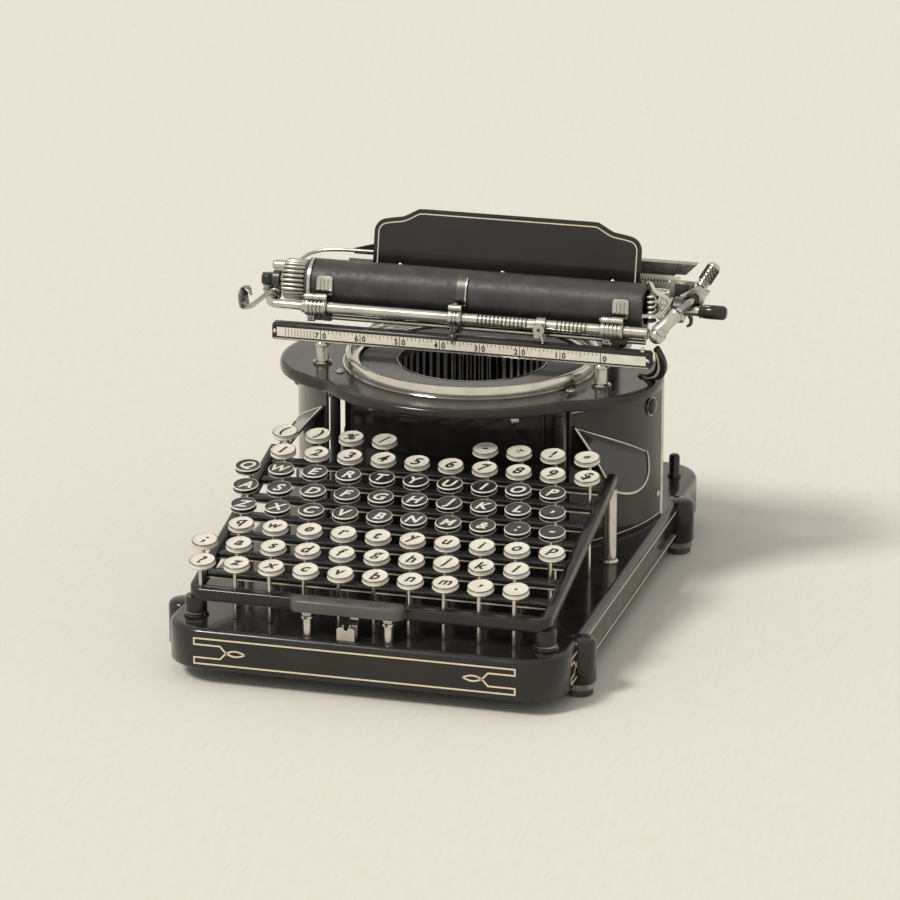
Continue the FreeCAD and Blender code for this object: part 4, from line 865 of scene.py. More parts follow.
# ------------------------------------------------------------------ keyboard
@dataclass
class KeyRow:
    """One row of key tops on their stems, with the legends."""

    index: int
    columns: Sequence[int]
    legends: str
    tone: Tone
    pitch: float = 21.1
    depth: float = 21.0
    rise: float = 4.7
    first: Triple = (-100.9, -165.6, 71.0)
    radius: float = 7.8
    thick: float = 4.0
    tilt: float = 10.0
    stem: float = 1.25
    letter: float = 1.42
    lean: float = 0.32
    foot: float = 24.8

    @staticmethod
    def rows() -> list["KeyRow"]:
        """Lists the keyboard.

        Returns:
            The eight rows from the front to the back.
        """
        white, black = Tone.WHITE, Tone.BLACK
        return [
            KeyRow(0, range(0, 10), "?zxcvbnm,.", white),
            KeyRow(1, range(0, 10), ";asdfghjkl", white),
            KeyRow(2, range(1, 11), "qwertyuiop", white),
            KeyRow(3, range(1, 11), "ZXCVBNM&:-", black),
            KeyRow(4, range(1, 11), "ASDFGHJKL,", black),
            KeyRow(5, range(1, 11), "QWERTYUIOP", black),
            KeyRow(6, range(2, 12), "123456789$", white),
            KeyRow(7, (2, 3, 4, 5, 8, 9, 10, 11), "()%/-*!\"", white),
        ]

    @property
    def y(self) -> float:
        """Depth of the row."""
        return self.first[1] + self.depth * self.index

    @property
    def top(self) -> float:
        """Height of its key tops."""
        return self.first[2] + self.rise * self.index

    @property
    def body(self) -> str:
        """The body that the row moves with."""
        return f"key_row_{self.index + 1}"

    def places(self) -> list[float]:
        """The x of each key."""
        return [self.first[0] + self.pitch * c - self.pitch / 4 * self.index for c in self.columns]

    def stems(self) -> list[float]:
        """The x of each stem, which stands over its own lever."""
        shift = self.pitch / 16 * (-1 if self.index < 4 else 1)
        return [x + shift for x in self.places()]

    def build(self) -> None:
        """Builds the row."""
        tilt = Matrix.Rotation(math.radians(self.tilt), 3, "X")
        tops, marks = Form(), Form()
        low = self.top - self.thick
        for x, stem_x, legend in zip(self.places(), self.stems(), self.legends):
            base = xyz(x, self.y, low)
            self.cap(tops, base, tilt @ Z)
            tops.rod(xyz(stem_x, self.y, self.foot), Z, self.stem, low + 0.6 - self.foot, 14, 1)
            points, faces = letters(legend, self.radius * self.letter, self.lean)
            grow = 0.9 if legend in "wmWM%&" else 1.0
            marks.add([base + tilt @ xyz(p.x * grow, p.y * grow, self.thick - 0.24) for p in points], faces)
        white = self.tone is Tone.WHITE
        face, ink = (KEY_WHITE, INK_BLACK) if white else (KEY_BLACK, INK_WHITE)
        rim = KEY_EDGE if white else INK_WHITE
        number = self.index + 1
        solid = f"keys_row{number}"
        tops.piece(f"key_tops_{number}", self.body, face, NICKEL, rim, replaces=solid, sharp=32)
        marks.piece(f"legends_{number}", self.body, ink, sharp=35)

    def cap(self, form: Form, base: Vector, axis: Vector) -> None:
        """One key top: a lipped disc with a sunk face, a line round its edge and its foot, and its seat.

        Args:
            form: What it is added to.
            base: Middle of its underside.
            axis: Direction that it faces.
        """
        r, t = self.radius, self.thick
        disc = [
            (0, 0), (r - 1.3, 0), (r - 0.5, 0.45), (r, 1.0), (r, 1.25), (r - 0.28, 1.45),
            (r - 0.28, t - 1.1), (r, t - 0.9), (r, t - 0.55), (r - 0.3, t - 0.12), (r - 0.75, t),
            (r - 1.15, t - 0.05), (r - 1.4, t - 0.35), (r - 1.8, t - 0.42), (0, t - 0.3),
        ]
        edge = [(r - 0.02, t - 0.62), (r + 0.08, t - 0.52), (r - 0.16, t - 0.1), (r - 0.42, t + 0.05)]
        edge.append((r - 0.5, t - 0.02))
        foot = [(r - 0.2, 0.8), (r + 0.09, 1.0), (r + 0.09, 1.15), (r - 0.2, 1.35)]
        form.lathe(disc, base, axis, 36)
        form.lathe(edge, base, axis, 36, 2)
        form.lathe(foot, base, axis, 36, 2)
        form.lathe([(2.4, -1.2), (3.4, 0.05), (0, 0.05)], base, axis, 16, 1)


@dataclass
class KeyboardFrame:
    """The sloping rails with their front bar, the guide slats and the four posts."""

    rail_x: float = 106.5
    rail_width: float = 6.5
    rail_height: float = 7.5
    drop: float = 17.2
    rear: float = 13.0
    corner: float = 9.0
    front_width: float = 9.0
    slat_width: float = 9.0
    slat_height: float = 4.0
    slat_drop: float = 1.5
    front_post: float = 6.5
    rear_post: float = 4.2
    deck: float = 35.0
    rows: list[KeyRow] = field(default_factory=KeyRow.rows)

    def level(self, y: float) -> float:
        """Height of the rails' top at a depth."""
        first = self.rows[0]
        return max(first.top, first.top + first.rise / first.depth * (y - first.y)) - self.drop

    def build(self) -> None:
        """Builds the frame."""
        self.rails()
        self.slats()
        self.posts()

    def rails(self) -> None:
        """One bar bent round the front, flat on top with rounded edges."""
        front = self.rows[0].y
        rear = self.rows[-1].y + self.rear
        reach, half_way = self.rail_x, (rear + front) / 2
        r = self.corner - self.rail_width / 2
        path = [xyz(-reach, rear), xyz(-reach, half_way)]
        path += arc(xyz(r - reach, front + r), r, 180, 270, 6)
        path += arc(xyz(reach - r, front + r), r, 270, 360, 6)
        path += [xyz(reach, half_way), xyz(reach, rear)]
        form = Form()
        rings = []
        for n, here in enumerate(path):
            side = heading(path, n).cross(Z)
            share = max(0.0, 1 - (here.y - front) / r) if here.y < front + r else 0.0
            half = self.rail_width / 2 + share * (self.front_width - self.rail_width) / 2
            high = self.level(here.y)
            rings.append([here + side * (half * a) + Z * (high - self.rail_height * b) for a, b in SECTION])
        form.loft(rings)
        form.piece("rail_frame", "machine", BLACK, replaces="keyboard_frame")

    def slats(self) -> None:
        """A slat under each row, round on top, with rimmed holes for the stems and a line along its foot."""
        form = Form()
        reach = self.rail_x - self.rail_width / 2
        half, high = self.slat_width / 2, self.slat_height
        for row in self.rows[1:]:
            top = self.level(row.y) - self.slat_drop
            section = [xyz(0, row.y + half * a, top - high * b) for a, b in SECTION]
            form.loft([[p + X * x for p in section] for x in (-reach, reach)])
            r = row.stem
            for x in row.stems():
                rim = [(r + 0.2, 0), (r + 0.9, 0), (r + 0.9, 0.25), (r + 0.2, 0.3)]
                form.lathe(rim, xyz(x, row.y, top - 0.05), Z, 14, 1)
            ends = [xyz(x, row.y - half + 0.02, top - high + 0.5) for x in (-reach, reach)]
            form.ribbon(ends, 0.8, -Y, 0.15, 2)
        form.piece("slats", "machine", SATIN, STEEL, LINING, replaces="key_guide_slats")

    def posts(self) -> None:
        """Stout turned posts at the front corners, slim ones at the back."""
        form = Form()
        y, base = self.rows[0].y + 2.1, self.deck
        rear = self.rows[-1].y + self.rear - self.rear_post
        for side in Side:
            r, top = self.front_post, self.level(y) - self.rail_height - base
            where = xyz(side.value * (self.rail_x - 0.5), y, base)
            stout = [
                (0, -0.5), (r + 1.1, -0.5), (r + 1.1, 0.7), (r, 1.6), (r, top - 1.0), (r - 0.6, top + 0.4),
                (0, top + 0.4),
            ]
            form.lathe(stout, where, sides=36, slot=1)
            form.lathe([(r + 0.05, 1.9), (r + 0.25, 2.0), (r + 0.25, 2.7), (r + 0.05, 2.8)], where, sides=36)
            r, top = self.rear_post, self.level(rear) - self.rail_height - base
            slim = [(0, -0.5), (r + 1.2, -0.5), (r + 1.2, 0.8), (r, 2.0), (r, top + 0.8), (0, top + 0.8)]
            form.lathe(slim, xyz(side.value * self.rail_x, rear, base), sides=28)
        form.piece("frame_posts", "machine", NICKEL, BLACK, replaces="keyboard_posts")


SECTION = [
    (-1.0, 0.32), (-0.97, 0.16), (-0.86, 0.05), (-0.66, 0.0), (0.0, -0.03), (0.66, 0.0), (0.86, 0.05),
    (0.97, 0.16), (1.0, 0.32), (1.0, 0.86), (0.92, 1.0), (-0.92, 1.0), (-1.0, 0.86),
]


@dataclass
class SpaceBar:
    """The space bar on its two sliding posts, with the fork that guides it."""

    length: float = 69.0
    depth: float = 13.0
    thick: float = 8.0
    x: float = -8.5
    y: float = -178.4
    top: float = 58.0
    spacing: float = 49.0
    post: float = 3.0
    base: float = 35.0
    fork: Pair = (5.4, 43.2)

    def build(self) -> None:
        """Builds the bar and what it stands on."""
        self.bar()
        self.posts()
        self.link()
        self.guide()

    def bar(self) -> None:
        """A round-ended bar with a crowned top."""
        radius = self.depth / 2 - 0.4
        reach = self.length / 2 - radius
        loop = arc(xyz(self.x + reach, self.y), radius, -90, 90, 12)
        loop += arc(xyz(self.x - reach, self.y), radius, 90, 270, 12)
        form = Form()
        top, low = self.top, self.top - self.thick
        steps = [(1.6, low), (0.3, low + 0.5), (0.0, low + 1.6), (0.0, top - 2.4)]
        steps += [(0.35, top - 1.1), (1.2, top - 0.4), (2.6, top - 0.05), (4.6, top)]
        form.loft(stepped(loop, steps))
        form.piece("space_bar_top", "space_bar", EBONY, replaces="space_bar", sharp=50)

    def posts(self) -> None:
        """Two plated posts with collars, each with a set screw."""
        form = Form()
        high = self.top - self.thick
        r = self.post
        profile = [
            (0, 24.9), (r, 24.9), (r, high - 4.2), (r + 1.3, high - 4.0), (r + 1.3, high - 2.6),
            (r + 0.7, high - 2.2), (r + 0.7, high - 1.4), (r + 1.3, high - 1.0), (r + 1.3, high + 0.2),
            (0, high + 0.2),
        ]
        for side in Side:
            where = xyz(self.x + side.value * self.spacing / 2, self.y)
            form.lathe(profile, where, sides=28)
            set_screw = where + xyz(0, -r - 1.2, high - 3.3)
            form.lathe([(0, 0), (0.9, 0), (0.9, 0.35), (0, 0.5)], set_screw, -Y, 12, 1)
        form.piece("space_bar_pillars", "space_bar", NICKEL, DARK_STEEL, replaces="space_bar_posts")

    def link(self) -> None:
        """The flat arm that leans back from the guide to the bar."""
        form = Form()
        y, high = self.y - 1.5, self.top - self.thick + 0.1
        arm = [
            (y, 26.5), (y, 43.6), (y + 3.2, 46.4), (y + 3.2, high), (y + 6.2, high), (y + 6.2, 45.4),
            (y + 2.5, 42.2), (y + 2.5, 26.5),
        ]
        form.prism([xyz(self.x + 1.0, a, b) for a, b in arm], X * 5.0)
        form.piece("space_arm", "space_bar", NICKEL, replaces="space_lever", bevel=0.3, sharp=35)

    def guide(self) -> None:
        """The forked block at the front edge of the deck, and beside it a thin dark sheet on the deck:
        painted shade that stands for an open slot.
        """
        form = Form()
        front = self.y - 5.0
        half, top = self.fork
        fork = [
            (-half, self.base), (half, self.base), (half, top - 1.2), (half - 1.2, top), (1.5, top),
            (1.2, top - 1.6), (-0.9, top - 1.6), (-1.2, top), (1.2 - half, top), (-half, top - 1.2),
        ]
        form.prism([xyz(self.x + a, front, b) for a, b in fork], Y * 3.2)
        for x in (-1.9, 2.2):
            pin = [(0, -0.2), (0.75, -0.2), (0.75, 1.1), (0.4, 1.4), (0, 1.4)]
            form.lathe(pin, xyz(self.x + x, front + 1.6, top), Z, 12)
        # painted shade: a thin satin black sheet lies on the deck where an open slot would show dark
        slot = [(half - 0.4, self.y - 1.6), (half + 9.0, self.y + 3.4), (half - 0.4, self.y + 3.4)]
        form.prism([xyz(self.x + a, b, self.base) for a, b in slot], Z * 0.08, 1)
        form.piece("space_fork", "machine", NICKEL, SATIN, replaces="space_guide", bevel=0.35, sharp=35)


# ------------------------------------------------------------------ body
@dataclass
class Body:
    """What stands between the base and the top plate."""

    bottom: float = 35.0
    top: float = 124.0
    column_x: float = 70.5
    column_y: Pair = (4.0, 143.0)
    column: float = 3.2
    shell: float = 117.0
    shell_y: float = 95.0
    shell_end: float = 84.0
    shell_thick: float = 1.6
    panel_half: float = 60.0
    panel_bulge: float = 7.0
    wing_apex_z: float = 112.0
    wing_front: Triple = (106.0, -3.6, 78.4)
    wing_edge: Triple = (117.2, 24.0, 71.2)
    screw_z: float = 115.5
    knob: Pair = (66.0, 111.0)

    def build(self) -> None:
        """Builds the body."""
        self.columns()
        self.panel()
        self.shells()
        self.wings()
        dress(SATIN, "rear_panel")

    def columns(self) -> None:
        """Four turned columns with a foot and a cap."""
        form = Form()
        high, r = self.top - self.bottom, self.column
        profile = [
            (0, 0), (r + 1.6, 0), (r + 1.6, 1.4), (r + 0.5, 2.4), (r, 3.6), (r, high - 4.4),
            (r + 0.5, high - 3.2), (r + 1.4, high - 2.2), (r + 1.4, high), (0, high),
        ]
        for side in Side:
            for y in self.column_y:
                form.lathe(profile, xyz(side.value * self.column_x, y, self.bottom), sides=28)
        form.piece("body_pillars", "machine", SATIN, replaces="body_columns")

    def panel(self) -> None:
        """The bowed front panel, bare, with a turned bead down each edge, a lip behind it and two screws."""
        form = Form()
        tall = Z * (self.top - self.bottom)
        radius = (self.panel_half**2 + self.panel_bulge**2) / (2 * self.panel_bulge)
        centre = xyz(0, self.column_y[0] + 2.0 - self.panel_bulge + radius, self.bottom)
        half = math.degrees(math.asin(self.panel_half / radius))
        outer = arc(centre, radius, -90 - half, -90 + half, 28)
        inner = arc(centre, radius - 2.0, -90 + half, -90 - half, 28)
        form.prism([*outer, *inner], tall)
        for end in (outer[0], outer[-1]):
            form.tube([end + Y, end + Y + tall], 1.5, 12)
        for side in Side:
            edge = outer[0] if side is Side.LEFT else outer[-1]
            lip = ((-1.0, 2.2), (6.2, 4.2), (6.2, 5.2), (-1.0, 3.2))
            form.prism([edge + xyz(side.value * reach, back) for reach, back in lip], tall, 2)
        for x in (-46.5, 43.5):
            y = centre.y - math.sqrt(radius**2 - x**2)
            screw(form, xyz(x, y, self.screw_z), xyz(x / radius, -1), 2.6, 25.0, 1)
        form.piece("front_apron", "machine", BLACK, NICKEL, SATIN, replaces="front_panel")

    def shells(self) -> None:
        """The two curved side shells with a bright bead and a screw at the rear edge, and a knob each."""
        form = Form()
        height = self.top - self.bottom
        centre = xyz(0, self.shell_y, self.bottom)
        for side in Side:
            a, b = self.turn(side, self.column_y[0] + 3.0), self.turn(side, self.shell_end)
            outer = arc(centre, self.shell, a, b, 26)
            inner = arc(centre, self.shell - self.shell_thick, b, a, 26)
            form.prism([*outer, *inner], Z * height)
            bead = outer[-1] - (outer[-1] - centre).normalized() * 0.8
            form.tube([bead, bead + Z * height], 1.9, 16, 1)
            edge = outer[0] - (outer[0] - centre).normalized() * 0.6
            form.tube([edge, edge + Z * height], 1.1, 12)
            spot = arc(centre, self.shell, self.turn(side, self.shell_end - 6), 0, 1)[0]
            screw(form, spot + Z * 15.0, spot - centre, 2.2, 20.0, 1)
            for z in (2.2, height - 2.2):
                rim = [p + Z * z for p in arc(centre, self.shell + 0.1, a, b, 26)]
                form.ribbon(rim, 0.7, xyz(side.value, -0.3), 0.1, 2)
        y, z = self.knob
        for side in Side:
            spot = self.on_shell(side, y, z, self.shell - 0.2)
            out = xyz(side.value, (y - self.shell_y) / self.shell).normalized()
            form.lathe([(0, -0.5), (5.2, -0.5), (5.2, 1.6), (4.4, 2.6), (2.2, 3.1), (0, 3.2)], spot, out, 28)
            form.lathe([(5.3, 0.2), (5.9, 0.2), (5.9, 1.1), (5.3, 1.2)], spot, out, 28, 1)
        form.piece("side_covers", "machine", BLACK, NICKEL, LINING, replaces="side_shells")

    def turn(self, side: Side, y: float) -> float:
        """Angle of a place on the round body, by its hand and its depth, in degrees."""
        angle = math.degrees(math.asin((y - self.shell_y) / self.shell))
        return angle if side is Side.RIGHT else 180 - angle

    def wings(self) -> None:
        """Two horns of sheet metal that fan out over the rails, with bright edges."""
        form = Form()
        for side in Side:
            self.horn(form, side)
        form.piece("horns", "machine", BLACK, NICKEL, replaces="side_wings", sharp=45)

    def horn(self, form: Form, side: Side) -> None:
        """One horn: a fan of rows from its apex to its rolled rim, with a back at a sheet's thickness.

        Args:
            form: What it is added to.
            side: Its hand.
        """
        radius = self.shell + 1.2
        apex = self.on_shell(side, 8.0, self.wing_apex_z, radius)
        front, edge = (xyz(side.value * x, y, z) for x, y, z in (self.wing_front, self.wing_edge))
        tip = self.on_shell(side, 58.0, 84.0, radius + 0.6)
        rim = through(front, edge, tip, 18)
        normal = (front - apex).cross(tip - apex).normalized()
        normal *= 1 if normal.x * side.value > 0 else -1
        steps, count = 8, len(rim)
        points = [apex]
        for k in range(1, steps + 1):
            belly = normal * (1.6 * math.sin(math.pi * k / steps) * 0.6)
            points += [self.clear(apex.lerp(p, k / steps) + belly) for p in rim]
        faces: list[Face] = [(0, 1 + n, 2 + n) for n in range(count - 1)]
        for k in range(steps - 1):
            a, b = 1 + k * count, 1 + (k + 1) * count
            faces += [(a + n, b + n, b + n + 1, a + n + 1) for n in range(count - 1)]
        total = len(points)
        faces += [tuple(total + n for n in reversed(f)) for f in faces]
        last = 1 + (steps - 1) * count
        near = [0, *[1 + k * count for k in range(steps)]]
        far = [count * k for k in range(steps - 1, 0, -1)]
        outside = [*near, *range(last + 1, last + count), *far]
        for here, after in zip(outside, [*outside[1:], outside[0]]):
            faces.append((here, after, after + total, here + total))
        form.add([*points, *[p - normal * 1.1 for p in points]], faces)
        form.tube([points[n] + normal * 0.2 for n in near], 0.8, 10, 1)
        form.tube([p + normal * 0.1 for p in points[last : last + count]], 0.8, 10, 1)
        form.tube([points[0], *[points[k * count] for k in range(1, steps + 1)]], 0.5, 8, 1)

    def on_shell(self, side: Side, y: float, z: float, radius: float) -> Vector:
        """A point on a cylinder about the round body."""
        turn = math.asin((y - self.shell_y) / radius)
        return xyz(side.value * radius * math.cos(turn), y, z)

    def clear(self, point: Vector) -> Vector:
        """Moves a point out of the round body.

        Args:
            point: The point.

        Returns:
            The point itself or the nearest one that is clear.
        """
        flat = xyz(point.x, point.y - self.shell_y)
        least = self.shell + 1.3
        if flat.length >= least:
            return point
        flat *= least / flat.length
        return xyz(flat.x, flat.y + self.shell_y, point.z)


def through(a: Vector, b: Vector, c: Vector, steps: int) -> list[Vector]:
    """A circular arc through three points.

    Args:
        a: First end.
        b: A point between.
        c: Second end.
        steps: How many steps it is cut into.

    Returns:
        The points of the arc.
    """
    p, q = b - a, c - a
    normal = p.cross(q)
    size = normal.length_squared
    lean = normal.cross(p) * q.length_squared - normal.cross(q) * p.length_squared
    centre = a + lean / (2 * size)
    u = (a - centre).normalized()
    v = normal.normalized().cross(u)
    end = math.atan2((c - centre).dot(v), (c - centre).dot(u)) % math.tau
    radius = (a - centre).length
    return arc(centre, radius, 0, math.degrees(end), steps, u, v)


def screw(form: Form, where: Vector, out: Vector, radius: float, turn: float, slot: int) -> None:
    """A round-headed screw with a slot.

    Args:
        form: What it is added to.
        where: Middle of its seat.
        out: Direction that it faces.
        radius: Radius of its head.
        turn: Angle of its slot, in degrees.
        slot: Finish of the head.
    """
    way = out.normalized()
    high = radius * 0.45
    u, v = across(way)
    line = u * math.cos(math.radians(turn)) + v * math.sin(math.radians(turn))
    side = way.cross(line)
    head = [
        (0, -0.4), (radius, -0.4), (radius, high * 0.35), (radius * 0.75, high * 0.8),
        (radius * 0.35, high), (0, high),
    ]
    form.lathe(head, where, way, 20, slot)
    base, long, wide = where + way * (high * 0.86), radius * 0.82, radius * 0.13
    form.prism([base + line * (long * a) + side * (wide * b) for a, b in SQUARE], way * (high * 0.18), slot)


# ------------------------------------------------------------------ top plate and type basket
@dataclass
class TopPlate:
    """The top plate: a round front between two ears, with the ring and pad on it."""

    top: float = 130.5
    thick: float = 6.5
    ear: Triple = (57.0, 62.0, 64.0)
    bulge: Pair = (65.0, 99.0)
    rear: Pair = (84.0, 152.0)
    rear_corner: float = 16.0
    waist: float = 14.0
    well: float = 70.0
    ring: float = 78.8
    ring_wall: float = 3.5
    ring_height: float = 8.0
    pad: Pair = (70.0, 46.0)

    def build(self) -> None:
        """Builds the plate, the ring and the pad."""
        self.plate()
        self.type_ring()
        self.ink_pad()

    def outline(self) -> list[Vector]:
        """The plate's edge, from the middle of the front round the right side to the rear and back.

        Returns:
            A closed outline in the plane z = 0.
        """
        ear_x, ear_y, ear_r = self.ear
        by, br = self.bulge
        half, back = self.rear
        bulge, ear = Y * by, xyz(ear_x, ear_y)
        w = self.waist
        # the fillet's centre lies a fillet radius outside both circles, in front
        gap = ear - bulge
        d = gap.length
        a = (d * d + (br + w) ** 2 - (ear_r + w) ** 2) / (2 * d)
        h = math.sqrt((br + w) ** 2 - a * a)
        fillet = bulge + gap.normalized() * a + xyz(gap.y, -gap.x).normalized() * h
        to_bulge, to_ear = bulge - fillet, ear - fillet
        points = arc(bulge, br, -90, bearing(-to_bulge), 22)
        first, last = bearing(to_bulge), bearing(to_ear)
        points += arc(fillet, w, first, last - 360 if last > first else last, 8)[1:]
        side_y = ear_y + math.sqrt(ear_r**2 - (half - ear_x) ** 2)
        points += arc(ear, ear_r, bearing(-to_ear), bearing(xyz(half, side_y) - ear), 34)[1:]
        r = self.rear_corner
        points += arc(xyz(half - r, back - r), r, 0, 90, 7)
        meet = math.sqrt(br**2 - (back - by) ** 2)
        points += arc(bulge, br, bearing(xyz(meet, back) - bulge), 90, 12)[1:]
        return points + [xyz(-p.x, p.y, p.z) for p in reversed(points[1:-1])]

    def plate(self) -> None:
        """The japanned plate with a rolled rim and its screws."""
        form = Form()
        low = self.top - self.thick
        rim = [
            (1.0, low), (0.25, low + 0.35), (0.0, low + 1.1), (0.0, low + 3.4), (0.25, low + 4.7),
            (0.8, low + 5.6), (1.6, low + 6.15), (2.6, low + 6.4), (3.6, self.top),
        ]
        rings = stepped(self.outline(), rim)
        form.loft(rings, caps=False)
        for loop, z in ((rings[0], low), (rings[-1], self.top)):
            form.sheet([loop, ring(xyz(0, self.bulge[0], z), [self.well] * 72)])
        form.lathe([(self.well, low), (self.well, self.top)], Y * self.bulge[0], sides=72)
        for x, turn in ((-73.0, 35.0), (73.0, -20.0)):
            screw(form, xyz(x, 23.0, self.top), Z, 3.1, turn, 1)
        for side in Side:
            for x, y in ((74.0, 136.0), (106.0, 96.0)):
                screw(form, xyz(side.value * x, y, self.top), Z, 3.1, 15.0 * side.value, 1)
        form.piece("plate", "machine", BLACK, NICKEL, replaces="top_plate", sharp=50)

    def type_ring(self) -> None:
        """The plated ring: a flat lip, an upright wall with thin dark rings of painted shade standing for
        grooves at its foot and on its top, and the inner step.
        """
        form = Form()
        z, high = self.top, self.top + self.ring_height
        outer, inner, step = self.ring, self.ring - self.ring_wall, self.pad[0] + 0.2
        profile = [
            (step, z), (inner, z), (inner, z + 0.05), (outer + 1.6, z + 0.05), (outer + 1.6, z + 1.3),
            (outer + 0.5, z + 1.6), (outer + 0.5, z + 2.0), (outer, z + 2.2), (outer, high - 0.7),
            (outer - 0.25, high - 0.2), (outer - 0.8, high), (inner + 0.7, high), (inner + 0.2, high - 0.2),
            (inner, high - 0.8), (inner, z + 4.0), (inner - 0.4, z + 3.5), (step + 0.7, z + 3.5),
            (step, z + 3.0), (step, z),
        ]
        low_groove_shade = [
            (outer + 0.51, z + 1.55), (outer + 0.56, z + 1.65), (outer + 0.3, z + 2.15),
            (outer + 0.02, z + 2.25),
        ]
        top_groove_shade = [
            (inner + 0.9, high - 0.02), (inner + 0.95, high + 0.03), (inner + 1.3, high + 0.03),
            (inner + 1.35, high - 0.02),
        ]
        centre = Y * self.bulge[0]
        form.lathe(profile, centre, sides=96)
        for n, where in enumerate(arc(centre + Z * (z + 3.4), inner - 2.3, 45, 315, 3)):
            screw(form, where, Z, 1.5, 30.0 * n, 1)
        # painted shade: two thin dark steel rings stand for grooves, one at the wall's foot and one on its
        # top
        form.lathe(low_groove_shade, centre, sides=96, slot=2)
        form.lathe(top_groove_shade, centre, sides=96, slot=2)
        form.piece("basket_ring", "machine", POLISHED, STEEL, DARK_STEEL, replaces="type_ring")

    def ink_pad(self) -> None:
        """The round felt pad with a soft rolled edge, and the steel lip inside it."""
        form = Form()
        outer, inner = self.pad
        z = self.top
        felt = [
            (outer - 0.2, z - 3.0), (outer - 0.2, z + 0.2), (outer - 0.8, z + 1.2), (outer - 2.2, z + 1.9),
            (outer - 6.0, z + 2.0), (inner + 5.0, z + 2.0), (inner + 1.8, z + 1.8), (inner + 0.5, z + 1.0),
            (inner, z - 0.4), (inner, z - 3.0), (outer - 0.2, z - 3.0),
        ]
        lip = [
            (inner - 0.2, z - 2.6), (inner + 0.9, z - 2.6), (inner + 0.9, z + 1.9), (inner + 0.5, z + 2.2),
            (inner - 0.2, z + 2.0), (inner - 0.2, z - 2.6),
        ]
        form.lathe(felt, Y * self.bulge[0], sides=96)
        form.lathe(lip, Y * self.bulge[0], sides=96, slot=1)
        form.piece("pad_ring", "machine", INK_FELT, STEEL, replaces="ink_pad", sharp=50)


@dataclass
class TypeBasket:
    """The hanging type bars round the well, with their type slugs and pull wires."""

    count: int = 78
    radius: float = 60.0
    centre_y: float = 65.0
    bottom: float = 66.0
    top: float = 127.2
    skipped: int = 39
    # radius of the dark sheet of painted shade behind the bars
    wall: float = 66.6
    wall_span: Pair = (58.0, 124.0)

    def build(self) -> None:
        """Builds the bars and the dark sheet of painted shade behind them, and dresses the pieces that stay
        as they are.
        """
        self.bars()
        self.shade()
        dress(NICKEL, "type_bar_hanger", "swing_type_bar")
        dress(STEEL, "swing_pull_wire", "pull_wires")

    def bars(self) -> None:
        """Slim tapered bars, each with an eye at its foot, a slug at its head and a wire beside it."""
        form = Form()
        low, top, centre = self.bottom, self.top, Y * self.centre_y
        steps = [
            (1.6, 0.55, low), (1.6, 0.6, low + 5), (1.1, 0.5, low + 12), (0.9, 0.45, top - 12),
            (1.1, 0.5, top - 7), (1.5, 0.6, top - 5.5), (1.5, 0.6, top - 1.0), (1.2, 0.5, top),
        ]
        for n in range(self.count):
            if n == self.skipped:
                continue
            turn = math.tau * n / self.count - math.pi / 2
            out = xyz(math.cos(turn), math.sin(turn))
            side, where = out.cross(Z), centre + out * self.radius
            rings = []
            for deep, wide, z in steps:
                rings.append([where + out * (deep * a) + side * (wide * b) + Z * z for a, b in SQUARE])
            form.loft(rings)
            head = where - out * 1.4 + Z * (top - 3.4)
            form.prism([head + side * (0.9 * a) + Z * (1.6 * b) for a, b in SQUARE], out * -1.3, 1)
            turn += math.pi / self.count
            wire = centre + xyz(math.cos(turn), math.sin(turn)) * (self.radius + 3.9)
            form.rod(wire + Z * (low - 1), Z, 0.5, top - low - 3, 6)
        # the bars take a near-white painted sheen in place of lit steel
        form.piece("type_bar_set", "machine", BAR_SHEEN_PAINT, STEEL, replaces="type_bars", sharp=30)

    def shade(self) -> None:
        """A dark sheet behind the bars, open at the front: painted shade that stands for the dark inside of
        the well.
        """
        form = Form()
        low, high = (Z * z for z in self.wall_span)
        rings = []
        for out in arc(Vector(), 1.0, -14, 194, 48):
            near, far = Y * self.centre_y + out * self.wall, Y * self.centre_y + out * (self.wall + 0.8)
            rings.append([near + low, far + low, far + high, near + high])
        form.loft(rings)
        form.piece("basket_shade_sheet", "machine", SATIN)


